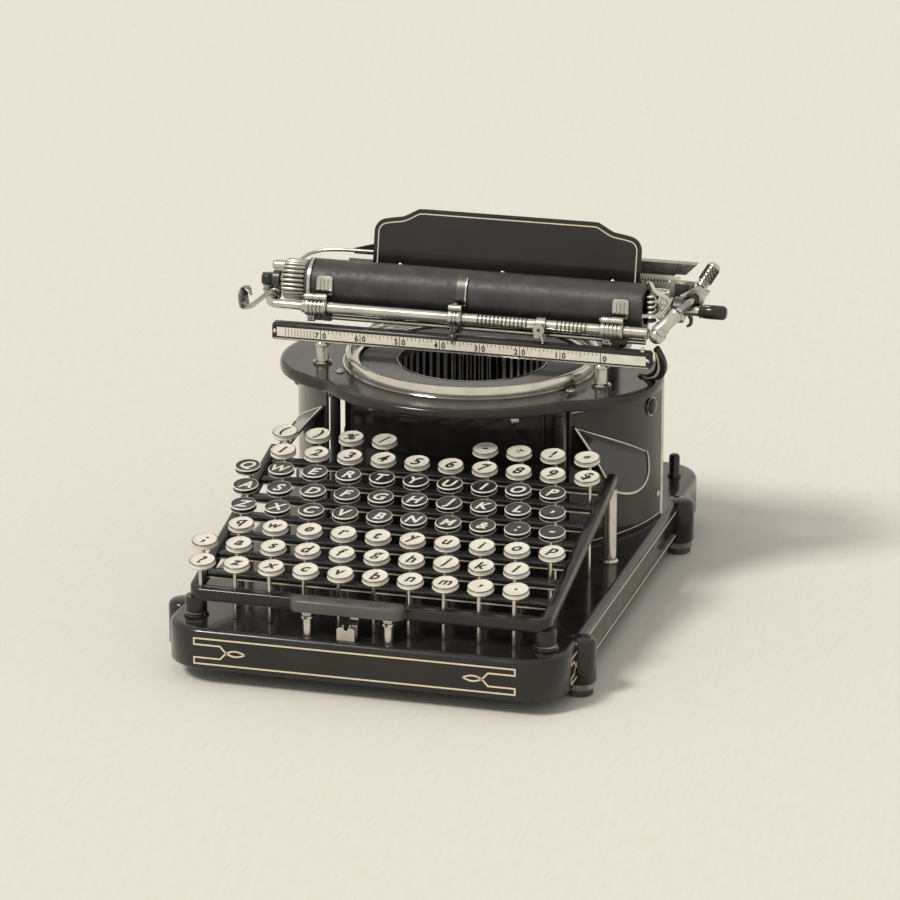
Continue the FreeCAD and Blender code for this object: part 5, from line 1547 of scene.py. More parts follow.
# ------------------------------------------------------------------ scale bar and guard
@dataclass
class ScaleBar:
    """The front bar with its ivory scale, on two posts."""

    half: float = 120.5
    y: float = 37.6
    depth: float = 7.0
    top: float = 155.0
    height: float = 10.5
    pitch: float = LETTER_PITCH
    zero: float = 88.9
    letters_wide: int = 70
    figure_size: float = 5.0
    post_x: float = 88.8
    post_radius: float = 4.0
    post_base: float = 130.5
    knob_x: float = 114.5

    def build(self) -> None:
        """Builds the bar and its posts."""
        self.bar()
        self.marks()
        self.posts()

    def bar(self) -> None:
        """A bar with a bevelled dark top, an inlaid face and a lower lip."""
        form = Form()
        front, back = self.y - self.depth / 2, self.y + self.depth / 2
        half, top, low = self.half, self.top, self.top - self.height
        section = [
            (front, low), (front, low + 1.4), (front + 0.45, low + 1.75), (front + 0.45, top - 2.3),
            (front + 0.1, top - 2.0), (front + 0.5, top - 0.7), (front + 1.3, top), (back - 0.7, top),
            (back, top - 0.7), (back, low + 0.5), (back - 0.5, low),
        ]
        middle = xyz(0, self.y, top - self.height / 2)
        steps = [(-half, 0.72), (0.5 - half, 0.9), (1.6 - half, 1.0)]
        steps += [(-x, share) for x, share in reversed(steps)]
        form.loft([[middle.lerp(xyz(0, y, z), share) + X * x for y, z in section] for x, share in steps])
        reach = half - 3.4
        face = [(-reach, low + 2.1), (reach, low + 2.1), (reach, top - 2.6), (-reach, top - 2.6)]
        form.prism([xyz(x, front + 0.46, z) for x, z in face], Y * -0.3, 1)
        form.ribbon([xyz(x, front, low + 0.75) for x in (1.5 - half, half - 1.5)], 0.9, -Y, slot=2)
        form.ribbon([xyz(x, self.y, top) for x in (2.0 - half, half - 2.0)], 0.7, Z, 0.1, 2)
        knob = [(0, 0), (1.9, 0), (1.9, 0.8), (1.3, 1.1), (1.2, 2.2), (0.8, 2.7), (0, 2.8)]
        form.lathe(knob, xyz(self.knob_x, self.y - 0.6, top), Z, 16, 3)
        for side in Side:
            screw(form, xyz(side.value * (half - 2.2), front + 0.1, middle.z), -Y, 1.2, 40.0, 3)
        form.piece("scale_beam", "machine", SATIN, SCALE_FACE, NICKEL, POLISHED, replaces="scale_bar")

    def marks(self) -> None:
        """A tick for each letter, longer at the fives, and a number at each ten."""
        form = Form()
        top, front = self.top - 2.75, self.y - self.depth / 2 + 0.14
        for n in range(self.letters_wide + 1):
            x = self.zero - self.pitch * n
            length = 5.6 if n % 10 == 0 else 2.7 if n % 5 == 0 else 1.7
            wide = 0.42 if n % 10 == 0 else 0.3
            form.ribbon([xyz(x, front, top), xyz(x, front, top - length)], wide, -Y, 0.1)
        for n in range(10, self.letters_wide + 1, 10):
            for sign, shift in zip(str(n), (-2.35, 2.35)):
                self.figure(form, sign, self.zero - self.pitch * n + shift)
        self.figure(form, "0", self.zero + 2.6)
        for x in range(int(8 - self.half), int(-self.zero - 4), 2):
            form.ribbon([xyz(x + 0.5, front, top - 0.6), xyz(x + 0.5, front, top - 5.2)], 0.25, -Y, 0.1)
        form.piece("scale_marks", "machine", INK_BLACK, sharp=35)

    def figure(self, form: Form, sign: str, x: float) -> None:
        """One figure of the scale.

        Args:
            form: What it is added to.
            sign: The figure.
            x: Its middle.
        """
        points, faces = letters(sign, self.figure_size)
        middle = xyz(x, self.y - self.depth / 2 + 0.04, self.top - self.height / 2 - 0.75)
        form.add([middle + xyz(p.x * 0.95, 0, p.y) for p in points], faces)

    def posts(self) -> None:
        """Turned posts with a flange and a neck under the bar."""
        form = Form()
        r, high = self.post_radius, self.top - self.height - self.post_base
        profile = [
            (0, 0), (r + 2.0, 0), (r + 2.0, 1.2), (r + 1.2, 1.9), (r + 0.2, 2.4), (r, 3.2), (r, high - 2.6),
            (r + 0.8, high - 2.0), (r + 0.8, high - 0.8), (r + 0.1, high + 0.1), (0, high + 0.1),
        ]
        for side in Side:
            form.lathe(profile, xyz(side.value * self.post_x, self.y, self.post_base), Z, 28)
        form.piece("scale_pillars", "machine", NICKEL, replaces="scale_posts")


@dataclass
class GuardArm:
    """The sickle-shaped arm at the right of the top plate."""

    foot: Triple = (109.0, 63.6, 130.5)
    head: Triple = (122.0, 40.6, 155.5)
    thick: float = 4.5

    def build(self) -> None:
        """A crescent, broad in the middle and pointed at the foot, with a painted highlight: a pale line
        along both faces.
        """
        foot, head = Vector(self.foot), Vector(self.head)
        outer = through(foot + Z * 0.4, xyz(127.6, 45.0, 144.5), head + xyz(1.6, -0.6, 1.6), 22)
        inner = through(foot + xyz(-2.2, 1.6, 1.6), xyz(121.0, 47.0, 145.5), head + xyz(-1.2, 0.6, 0.8), 22)
        sides = [(p - q).cross(heading(outer, n)).normalized() for n, (p, q) in enumerate(zip(outer, inner))]
        section = [
            (0.0, -0.6), (0.0, 0.6), (0.22, 1.0), (0.78, 1.0), (1.0, 0.55), (1.0, -0.55), (0.78, -1.0),
            (0.22, -1.0),
        ]
        half = self.thick / 2
        rows = list(zip(outer, inner, sides))
        form = Form()
        form.loft([[q + (p - q) * s + side * (half * t) for s, t in section] for p, q, side in rows])
        # painted highlight: a pale lining stripe along each face stands for the light on the blade
        for hand in (-1, 1):
            bright = [q + (p - q) * 0.42 + side * (hand * (half + 0.02)) for p, q, side in rows[1:-1]]
            form.ribbon(bright, 1.5, sides[11] * hand, slot=1)
        form.lathe([(0, 0), (3.0, 0), (3.0, 0.7), (2.2, 1.2), (0, 1.3)], foot + xyz(-0.6, 0.4), Z, 24)
        form.piece("sickle", "machine", SATIN, LINING, replaces="guard_arm", sharp=45)


# ------------------------------------------------------------------ carriage
@dataclass
class Carriage:
    """The swinging frame of the carriage with its front rails, clamps, fingers and rollers."""

    rail: Triple = (42.0, 165.0, 3.7)
    thin: Triple = (44.0, 158.6, 1.6)
    cross: Pair = (101.0, 172.0)
    platen: Triple = (62.0, 175.5, 14.3)
    right_x: float = 123.0
    left_x: float = -125.0
    rail_left: float = -99.0
    tube: float = 3.4
    left_tube: float = 2.8
    sleeve: float = 5.8
    sleeve_length: float = 16.0
    clamps: tuple[Pair, ...] = ((-93.5, 7.0), (-4.5, 4.2), (94.5, 7.0))
    table: Triple = (84.0, 180.5, 12.0)
    plate_gap: float = 2.0
    drop: Triple = (32.9, 156.2, 150.4)
    notches: tuple[tuple[float, int], ...] = ((10.0, 13), (60.0, 8))

    def build(self) -> None:
        """Builds the carriage."""
        self.right_side()
        self.left_side()
        self.rest()
        self.rails()
        self.clamp_set()
        self.fingers()
        self.rollers()
        self.pointer()
        self.bow()
        self.springs()

    def sleeve_on(self, form: Form, x: float, half: float, r: float) -> None:
        """The sleeve that turns on the cross tube, with a raised lip at each end.

        Args:
            form: What it is added to.
            x: Its middle.
            half: Half of its length.
            r: Its radius.
        """
        end = 2 * half
        profile = [
            (3.5, 0), (r - 0.6, 0), (r, 0.5), (r, 1.8), (r - 0.5, 2.3), (r - 0.5, end - 2.3),
            (r, end - 1.8), (r, end - 0.5), (r - 0.6, end), (3.5, end), (3.5, 0),
        ]
        form.lathe(profile, xyz(x - half, *self.cross), X, 32)

    def right_side(self) -> None:
        """Right tube with its ball, collar, hub plate and bush."""
        form = Form()
        x, r = self.right_x, self.tube
        ry, rz, _ = self.rail
        py, pz, _ = self.platen
        start, end = xyz(x, ry, rz), xyz(x, self.cross[0] - self.sleeve + 0.6, self.cross[1] - 0.7)
        way = (end - start).normalized()
        collar = [
            (0, -1), (r + 1.4, -1), (r + 1.6, -0.4), (r + 1.6, 1.2), (r + 1.0, 1.8), (r + 1.0, 7.4),
            (r + 1.4, 8.0), (r + 1.4, 9.2), (r, 9.8), (0, 9.8),
        ]
        ball = [(0, -0.6), (3.0, -0.6), (3.2, 0.4)]
        for turn in (math.radians(t) for t in range(-45, 90, 15)):
            ball.append((4.9 * math.cos(turn), 4.0 + 4.9 * math.sin(turn) * 0.82))
        hub = [
            (3.5, 0), (6.4, 0), (7.0, 0.6), (7.0, 2.2), (6.2, 2.8), (6.2, 7.2), (7.0, 7.8), (7.0, 9.4),
            (6.4, 10.0), (5.0, 10.0), (5.0, 16.5), (3.5, 16.5), (3.5, 0),
        ]
        web = [(py - 6.5, rz - 0.5), (py + 7.5, rz + 1.2), (py + 5.2, pz - 1.0), (py - 5.2, pz - 1.0)]
        form.rod(start, way, r, (end - start).length)
        form.lathe(collar, start, way, 30)
        form.lathe([*ball, (0, 8.0)], start, -Y, 32)
        form.lathe([(0, 0), (1.1, 0), (0.9, 0.35), (0, 0.4)], start - Y * 7.9, -Y, 14)
        self.sleeve_on(form, x, self.sleeve_length / 2, self.sleeve)
        form.lathe(hub, xyz(x - 5, py, pz), X, 36)
        form.prism([xyz(x - 2.6, a, b) for a, b in web], X * 5.2)
        stud = [(0, 0), (1.7, 0), (1.7, 0.9), (1.1, 1.4), (0, 1.5)]
        form.lathe(stud, xyz(x + 2.6, py - 1.0, pz - 8.6), X, 16)
        for share in (0.34, 0.44, 0.86):
            form.lathe([(r, 0), (r + 0.55, 0.2), (r + 0.55, 1.5), (r, 1.7)], start.lerp(end, share), way, 28)
        form.piece("side_tube_right", "carriage", NICKEL, replaces="carriage_frame", bevel=0.15)

    def left_side(self) -> None:
        """Left tube: one rod bent round the front corner, its collars and the bearing of the shaft."""
        form = Form()
        x, end, bend = self.left_x, self.rail_left, 6.0
        ry, rz, _ = self.rail
        py, pz, _ = self.platen
        path = [xyz(end - 2, ry, rz), xyz(x + bend, ry, rz)]
        for t in range(15, 90, 15):
            aside, along = bend * math.sin(math.radians(t)), bend * math.cos(math.radians(t))
            path.append(xyz(x + bend - aside, ry + bend - along, rz + 0.02 * t / 9))
        path += [xyz(x, ry + bend, rz + 0.6), xyz(x, self.cross[0] - self.sleeve + 0.8, self.cross[1] - 0.7)]
        socket = [(0, -1.5), (3.9, -1.5), (4.3, -0.9), (4.3, 3.4), (3.6, 4.0), (0, 4.0)]
        collar = [(0, 0), (4.1, 0), (4.1, 1.6), (3.4, 2.1), (3.4, 6.0), (4.1, 6.5), (4.1, 8.0), (0, 8.0)]
        hub = [(3.5, 0), (4.6, 0), (5.0, 0.4), (5.0, 4.6), (4.6, 5.0), (3.5, 5.0), (3.5, 0)]
        web = [(py - 5.0, rz + 0.8), (py + 5.6, rz + 2.4), (py + 4.2, pz - 1.0), (py - 4.2, pz - 1.0)]
        form.tube(path, self.left_tube, 20)
        form.lathe(socket, xyz(end - 2.5, ry, rz), X, 26)
        form.lathe(collar, xyz(x, ry + 7.5, rz + 0.8), xyz(0, 1, 0.119), 26)
        self.sleeve_on(form, x + 2.0, 4.0, 4.9)
        form.lathe(hub, xyz(x - 2.5, py, pz), X, 32, 1)
        form.prism([xyz(x - 1.8, a, b) for a, b in web], X * 3.6, 1)
        form.piece("side_tube_left", "carriage", NICKEL, DARK_STEEL, replaces="carriage_frame", bevel=0.15)

    def behind(self, x: float, up: float, back: float) -> Vector:
        """A point on the leaning plane of the paper table.

        Args:
            x: Its x.
            up: How far up the plane.
            back: How far behind it.

        Returns:
            The point.
        """
        y, z, tilt = self.table
        t = math.radians(tilt)
        return xyz(x, y + back * math.cos(t) + up * math.sin(t), z - back * math.sin(t) + up * math.cos(t))

    def rest(self) -> None:
        """The cross strip that the table is screwed to, on a foot from the right tube."""
        form = Form()
        seat, depth, left = self.plate_gap, self.plate_gap + 3.0, -86.0
        section = [
            (0.5, seat), (4.5, seat), (4.5, depth - 0.6), (3.9, depth), (1.1, depth), (0.5, depth - 0.6),
        ]
        form.prism([self.behind(left, u, b) for u, b in section], X * (self.right_x - left + 2))
        top = self.behind(0, 1.0, depth - 1.5)
        ry, rz, _ = self.rail
        cy, cz = self.cross
        base = rz + (cz - rz) * (top.y - ry) / (cy - ry) + 1.5
        high = top.z - base + 0.4
        foot = [(0, 0), (3.2, 0), (3.2, 1.0), (2.0, 1.8), (2.0, high), (0, high)]
        form.lathe(foot, xyz(self.right_x, top.y, base), Z, 20)
        out = self.behind(0, 0, 1) - self.behind(0, 0, 0)
        for x in TABLE_SCREWS:
            screw(form, self.behind(x, 2.5, depth), out, 1.6, 30.0 + x, 0)
        form.piece("table_rest", "carriage", STEEL, replaces="carriage_frame")

    def rails(self) -> None:
        """The round front rail with its letter notches, darkened by painted shade, and the thin rod under
        it.
        """
        form = Form()
        y, z, r = self.rail
        left, right = self.rail_left, self.right_x - self.tube - 2.6
        notches = [first + LETTER_PITCH * n for first, count in self.notches for n in range(count)]
        profile: list[Pair] = [(0, 0), (r - 0.4, 0), (r, 0.4)]
        for at in (x - left for x in notches):
            profile += [(r, at), (r - 0.42, at + 0.15), (r - 0.42, at + 0.6), (r, at + 0.75)]
        profile += [(r, right - left - 0.4), (r - 0.4, right - left), (0, right - left)]
        form.lathe(profile, xyz(left, y, z), X, 32)
        form.rod(xyz(left + 6, *self.thin[:2]), X, self.thin[2], right - left - 8, 16)
        # painted shade: a dark steel strip lies in the upper part of each notch
        for x in notches:
            tooth = []
            for out in arc(Vector(), 1.0, 75, 195, 8, Y, Z):
                near = xyz(x + 0.38, y, z) + out * (r - 0.3)
                a, b = near - X * 0.55, near + X * 0.55
                tooth.append([a, a + out * 0.36, b + out * 0.36, b])
            form.loft(tooth, 1)
        form.piece("front_rail_pair", "carriage", NICKEL, DARK_STEEL, replaces="front_rails", sharp=25)

    def clamp_set(self) -> None:
        """Split clamps with a hinge barrel on top, reeded in the middle, with a hanger to the thin rod."""
        form = Form()
        y, z, r = self.rail
        ty, tz, _ = self.thin
        for x, half in self.clamps:
            big, end = half > 5, 2 * half
            sleeve = [(r + 0.05, -half), (r + 1.5, -half), (r + 1.8, -half + 0.4), (r + 1.8, -half + 1.6)]
            grooves = 4 if big else 2
            for n in range(grooves):
                s = 2.0 - half + (end - 4.0) * (n + 0.5) / grooves
                sleeve += [(r + 1.8, s - 0.55), (r + 1.3, s - 0.35)]
                sleeve += [(r + 1.3, s + 0.35), (r + 1.8, s + 0.55)]
            sleeve += [(r + 1.8, half - 1.6), (r + 1.8, half - 0.4), (r + 1.5, half), (r + 0.05, half)]
            form.lathe(sleeve, xyz(x, y, z), X, 36)
            barrel = xyz(x - half, y - 1, z + 6.6)
            form.lathe([(0, 0), (1.9, 0), (2.2, 0.3), (2.2, end - 0.3), (1.9, end), (0, end)], barrel, X, 22)
            if big:
                form.rod(barrel - X * 0.9, X, 1.3, 0.9, 14, 1)
                for place in (barrel + X * (end * share) for share in (0.33, 0.66)):
                    form.lathe([(2.0, 0), (2.35, 0.1), (2.35, 0.7), (2.0, 0.8)], place, X, 22, 1)
            else:
                button = [(0, 0), (1.5, 0), (1.5, 1.0), (0.9, 1.5), (0, 1.6)]
                form.lathe(button, xyz(x, y - 1, z + 8.4), Z, 16, 1)
            low, high = x - half + 1, x - 1.5 if big else x + half - 1
            hanger = [
                (y - 1.2, z - 1.0), (y - 1.2, tz - 2.4), (y - 0.6, tz - 3.0), (ty + 1.9, tz - 3.0),
                (ty + 2.5, tz - 2.4), (ty + 2.5, z - 1.0),
            ]
            form.prism([xyz(low, a, b) for a, b in hanger], X * (high - low))
            screw(form, xyz((low + high) / 2, y - 1.2, tz + 0.2), -Y, 1.5, 20.0 + x, 1)
        form.piece("rail_clamp_set", "carriage", NICKEL, STEEL, replaces="rail_clamps", bevel=0.12)

    def fingers(self) -> None:
        """Spring fingers that hug the platen, and the strap at its left end."""
        form = Form()
        for x, half in self.clamps:
            self.finger(form, x, half > 5)
        inside = self.platen[2] + 0.35
        strap = []
        for n in range(19):
            out = spoke(198 - 104 * n / 18)
            near = xyz(self.rail_left - 1.6, *self.platen[:2]) + out * inside
            strap.append([near - X, near - X + out * 0.9, near + X + out * 0.9, near + X])
        form.loft(strap)
        form.piece("finger_set", "carriage", NICKEL, DARK_STEEL, DARK_STEEL, replaces="paper_fingers")

    def finger(self, form: Form, x: float, big: bool) -> None:
        """One finger with a rounded tip, engraved lines and two rivets.

        Args:
            form: What it is added to.
            x: Middle of its clamp.
            big: Whether it is one of the two broad ones.
        """
        middle = xyz(x + (3.5 if big else 2.0), *self.platen[:2])
        wide, low, high = (5.2, 200.0, 150.0) if big else (3.4, 200.0, 118.0)
        inside = self.platen[2] + 0.35
        rings = []
        for share in (n / 16 for n in range(17)):
            tip = max(0.0, (share - 0.9) / 0.1)
            size = wide - 1.3 * (1 - math.sqrt(max(0.0, 1 - tip**2)))
            out = spoke(low + (high - low) * share)
            near, far = middle + out * inside, middle + out * (inside + 0.85)
            rings.append([near - X * size, far - X * (size - 0.2), far + X * (size - 0.2), near + X * size])
        form.loft(rings, 0 if big else 2)
        for offset in (-0.45, 0.0, 0.45) if big else (0.8,):
            turns = [high + 9 + (low - high - 20) * n / 8 for n in range(9)]
            path = [middle + X * (offset * wide) + spoke(turn) * (inside + 0.86) for turn in turns]
            form.ribbon(path, 0.28 if big else 0.9, spoke((low + high) / 2), 0.06, 1 if big else 0)
        for offset in (-0.62, 0.62):
            out = spoke(low - 5)
            rivet = middle + X * (offset * wide) + out * (inside + 0.8)
            form.lathe([(0, 0), (0.8, 0), (0.6, 0.4), (0, 0.5)], rivet, out, 12)

    def rollers(self) -> None:
        """The two small feed rollers under the end clamps."""
        form = Form()
        profile = [
            (1.95, 0), (2.2, 0), (2.7, 0.5), (2.7, 3.2), (2.3, 3.6), (2.3, 4.3), (2.7, 4.7), (2.7, 9.5),
            (2.2, 10), (1.95, 10), (1.95, 0),
        ]
        for x, half in self.clamps:
            if half > 5:
                form.lathe(profile, xyz(x - 1, *self.thin[:2]), X, 28)
        form.piece("roller_pair", "feed_rollers", FOOT_RUBBER, replaces="feed_rollers")

    def pointer(self) -> None:
        """The drop pointer under the middle of the front rail."""
        form = Form()
        y, z, r = self.rail
        x, (front, high, tip) = self.clamps[1][0], self.drop
        turns = [math.radians(-60 + 300 * n / 24) for n in range(25)]
        drop = [xyz(x + 2.3 * math.cos(t), front, high + 2.4 * math.sin(t)) for t in turns]
        form.prism([*drop, xyz(x, front, tip)], Y * 0.9)
        form.lathe([(0, 0), (0.9, 0), (0.7, 0.4), (0, 0.5)], xyz(x, front, high + 0.1), -Y, 14, 1)
        stalk = [xyz(x, front + 0.5, 158.0), xyz(x, front + 0.7, 161.5), xyz(x, y - r - 0.6, z - 1.5)]
        form.tube(stalk, 0.8, 10)
        form.piece("drop_pointer", "carriage", DARK_STEEL, NICKEL)

    def bow(self) -> None:
        """The bent rod that carries the left end of the paper table."""
        form = Form()
        rod = [
            (-123.0, 96.0, 174.5), (-118.5, 93.0, 180.0), (-112.5, 91.0, 184.2), (-104.0, 90.4, 187.0),
            (-92.0, 90.4, 188.2), (-76.0, 90.4, 188.6), (-58.0, 90.6, 188.8),
        ]
        form.tube(smooth_path([Vector(p) for p in rod]), 1.15, 14)
        lug = [(-84.0, 186.2), (-61.0, 186.2), (-61.0, 193.0), (-72.0, 193.0), (-84.0, 189.6)]
        form.prism([xyz(a, 91.4, b) for a, b in lug], Y * 1.4, 1)
        form.piece("bow_rod", "carriage", NICKEL, SATIN)

    def springs(self) -> None:
        """The right end: a loop, a coil spring on its pin, a small plate with a hook, and the pull rod."""
        form = Form()
        loop = [
            (114.2, 50.0, 194.6), (116.6, 49.5, 193.6), (118.6, 49.5, 190.0), (122.6, 49.5, 187.6),
            (126.6, 49.5, 185.8), (127.8, 49.5, 182.2), (125.2, 49.5, 178.2), (122.8, 49.5, 174.5),
        ]
        form.tube(smooth_path([Vector(p) for p in loop]), 1.35, 14)
        foot = [
            (110.8, 172.6), (111.2, 174.8), (119.6, 175.4), (122.0, 178.0), (125.4, 176.4), (124.4, 173.2),
        ]
        form.prism([xyz(a, 48.6, b) for a, b in foot], Y * 1.6, 1)
        bead = [(0, -1.6), (1.8, -1.4), (2.3, -0.6), (2.3, 0.6), (1.8, 1.4), (0, 1.6)]
        form.lathe(bead, xyz(114.6, 50.0, 194.0), xyz(0.7, 0, 0.7), 20, 2)
        pin = xyz(116.4, 51.0, 169.5)
        steps, pitch = 14, 3.3
        coil = []
        for n in range(steps * 5 + 1):
            turn = math.tau * n / steps
            coil.append(pin + xyz(2.3 * math.cos(turn), 2.3 * math.sin(turn), 1.0 + pitch * n / steps))
        form.tube(coil, 0.95, 10)
        form.rod(pin, Z, 1.5, 18.0, 16, 2)
        plate = [(120.4, 168.8), (121.6, 189.0), (137.2, 188.2), (133.6, 175.0), (127.0, 169.0)]
        form.prism([xyz(a, 80.0, b) for a, b in plate], Y * 1.3, 1)
        inlay = [(124.0, 175.0), (124.4, 186.4), (133.2, 186.0), (131.0, 177.4)]
        form.prism([xyz(a, 79.7, b) for a, b in inlay], Y * 0.4, 2)
        hook = [(129.0, 169.5), (132.4, 168.0), (134.6, 165.0), (134.4, 161.2), (132.2, 159.6)]
        form.tube(smooth_path([xyz(a, 80.0, b) for a, b in hook]), lambda share: 1.9 - 1.1 * share, 12, 2)
        self.pull_rod(form)
        form.piece("end_springs", "carriage", POLISHED, NICKEL, DARK_STEEL)

    @staticmethod
    def pull_rod(form: Form) -> None:
        """The stout rod at the front, its thin end with turned rings, and its eye.

        Args:
            form: What they are added to.
        """
        first, knee, eye = xyz(124.0, 37.0, 168.0), xyz(134.4, 44.0, 179.0), xyz(139.2, 63.4, 181.7)
        way, end = (knee - first).normalized(), (knee - first).length
        stout = [
            (0, -1.0), (4.2, -1.0), (4.6, 0), (4.6, 2.2), (4.0, 2.8), (4.0, end - 4.0), (4.5, end - 3.4),
            (4.5, end - 0.8), (3.6, end), (0, end),
        ]
        form.lathe(stout, first, way, 30, 1)
        way, end = (eye - knee).normalized(), (eye - knee).length
        thin = [(0, -1.5), (2.5, -1.5), (2.5, end - 5.0), (1.9, end - 4.6), (1.9, end), (0, end)]
        form.lathe(thin, knee, way, 24, 1)
        for place in (knee + way * (2.0 + n * 2.1) for n in range(6)):
            form.lathe([(2.45, 0), (2.64, 0.1), (2.64, 0.65), (2.45, 0.75)], place, way, 24, 2)
        form.lathe([(1.9, 0), (3.2, 0), (3.2, 1.2), (1.9, 1.2), (1.9, 0)], eye + Y * 0.2, Y, 28, 2)


@dataclass
class MarginStop:
    """The sliding stop on the front rail with its thumb disc."""

    x: float = 50.0
    y: float = 42.0
    z: float = 165.0
    clear: float = 4.0

    def build(self) -> None:
        """Builds the stop: a sleeve on the rail, a milled disc before it, a block under it and a tail."""
        form = Form()
        middle = xyz(self.x, self.y, self.z)
        inner, outer = self.clear, self.clear + 1.0
        sleeve = [
            (inner, -3), (outer - 0.3, -3), (outer, -2.7), (outer, 2.7), (outer - 0.3, 3), (inner, 3),
            (inner, -3),
        ]
        form.lathe(sleeve, middle, X, 32)
        base = middle + xyz(0, -4.2, -1)
        form.prism(ring(base - Y * 2.2, [3.4, 3.7] * 24, X, Z), Y * -1.9)
        form.rod(base, -Y, 2.4, 2.3, 24)
        form.lathe([(0, 4.1), (2.6, 4.1), (2.2, 4.5), (0, 4.5)], base + Y * 0.2, -Y, 24)
        low = middle + xyz(-3.4, -6.4, -6.7)
        form.block(low, low + xyz(6.8, 4.8, 2.8))
        form.rod(base - Y * 4.4, -Y, 1.1, 0.15, 20, 1)
        tail = [(0.6, -6.4, -3.0), (1.8, -7.2, -6.4), (2.4, -7.0, -9.6)]
        form.tube(smooth_path([middle + Vector(p) for p in tail]), lambda share: 1.2 - 0.4 * share, 12)
        form.piece("stop_slide", "margin_stop", NICKEL, DARK_STEEL, replaces="margin_stop", bevel=0.15)


@dataclass
class Platen:
    """The rubber platen with its fluted line wheel, shaft and black knob."""

    y: float = 62.0
    z: float = 175.5
    radius: float = 14.3
    left: float = -104.0
    right: float = 111.0
    wheel: Triple = (13.0, 11.3, 15.0)
    flutes: int = 26
    shaft: float = 3.2
    shaft_left: float = -127.5
    knob: Triple = (4.4, 144.0, 161.0)

    def build(self) -> None:
        """Builds the roll and what turns with it."""
        self.roll()
        self.line_wheel()
        self.spindle()

    def roll(self) -> None:
        """The rubber roll with a recessed steel disc at each end."""
        form = Form()
        r, end = self.radius, self.right - self.left
        profile = [
            (self.shaft, 0), (r - 3.0, 0), (r - 3.0, 0.05), (r - 0.6, 0.05), (r, 0.7), (r, end - 0.7),
            (r - 0.6, end - 0.05), (r - 3.0, end - 0.05), (r - 3.0, end), (self.shaft, end),
        ]
        disc = [(3.4, -0.6), (r - 3.2, -0.6), (r - 3.4, 0.0), (5.6, 0.0), (5.2, 0.0), (3.4, 0.0)]
        base = xyz(self.left, self.y, self.z)
        form.lathe(profile, base, X, 72)
        form.lathe(disc, base, -X, 40, 1)
        form.lathe(disc, base + X * end, X, 40, 1)
        form.piece("platen_roll", "platen", PLATEN_RUBBER, STEEL, replaces="platen")

    def line_wheel(self) -> None:
        """The fluted wheel at the left end; its steel paints shade into the flutes as dark lines."""
        high, low, long = self.wheel
        turns = [math.pi * n / 6 for n in range(self.flutes * 6)]
        waves = [low + (high - low) * abs(math.cos(turn)) ** 0.6 for turn in turns]
        form = Form()
        rings = []
        for share, size in ((0.0, 0.95), (0.05, 1.0), (0.95, 1.0), (1.0, 0.96)):
            middle = xyz(self.left - long * share, self.y, self.z)
            rings.append(ring(middle, [size * wave for wave in waves], Y, Z))
        form.loft(rings)
        form.piece("fluted_wheel", "platen", WHEEL_STEEL, replaces="ratchet_wheel")

    def spindle(self) -> None:
        """The shaft and the black knob at its right end."""
        form = Form()
        r, start = self.shaft, self.shaft_left
        size, first, last = self.knob
        end = first - start
        form.lathe([(0, 0), (r - 0.4, 0), (r, 0.4), (r, end), (0, end)], xyz(start, self.y, self.z), X, 28)
        end = last - first
        profile = [
            (0, -0.2), (size - 1.0, -0.2), (size - 0.3, 0.2), (size - 0.1, 1.0), (size - 0.5, 1.6),
            (size - 0.5, 2.2), (size - 0.05, 2.8), (size, end * 0.5), (size, end - 2.4),
            (size - 0.5, end - 1.1), (size - 1.5, end - 0.25), (size - 2.6, end), (0, end),
        ]
        form.lathe(profile, xyz(first, self.y, self.z), X, 36, 1)
        form.piece("shaft_and_knob", "platen", NICKEL, BLACK, replaces="platen_shaft")


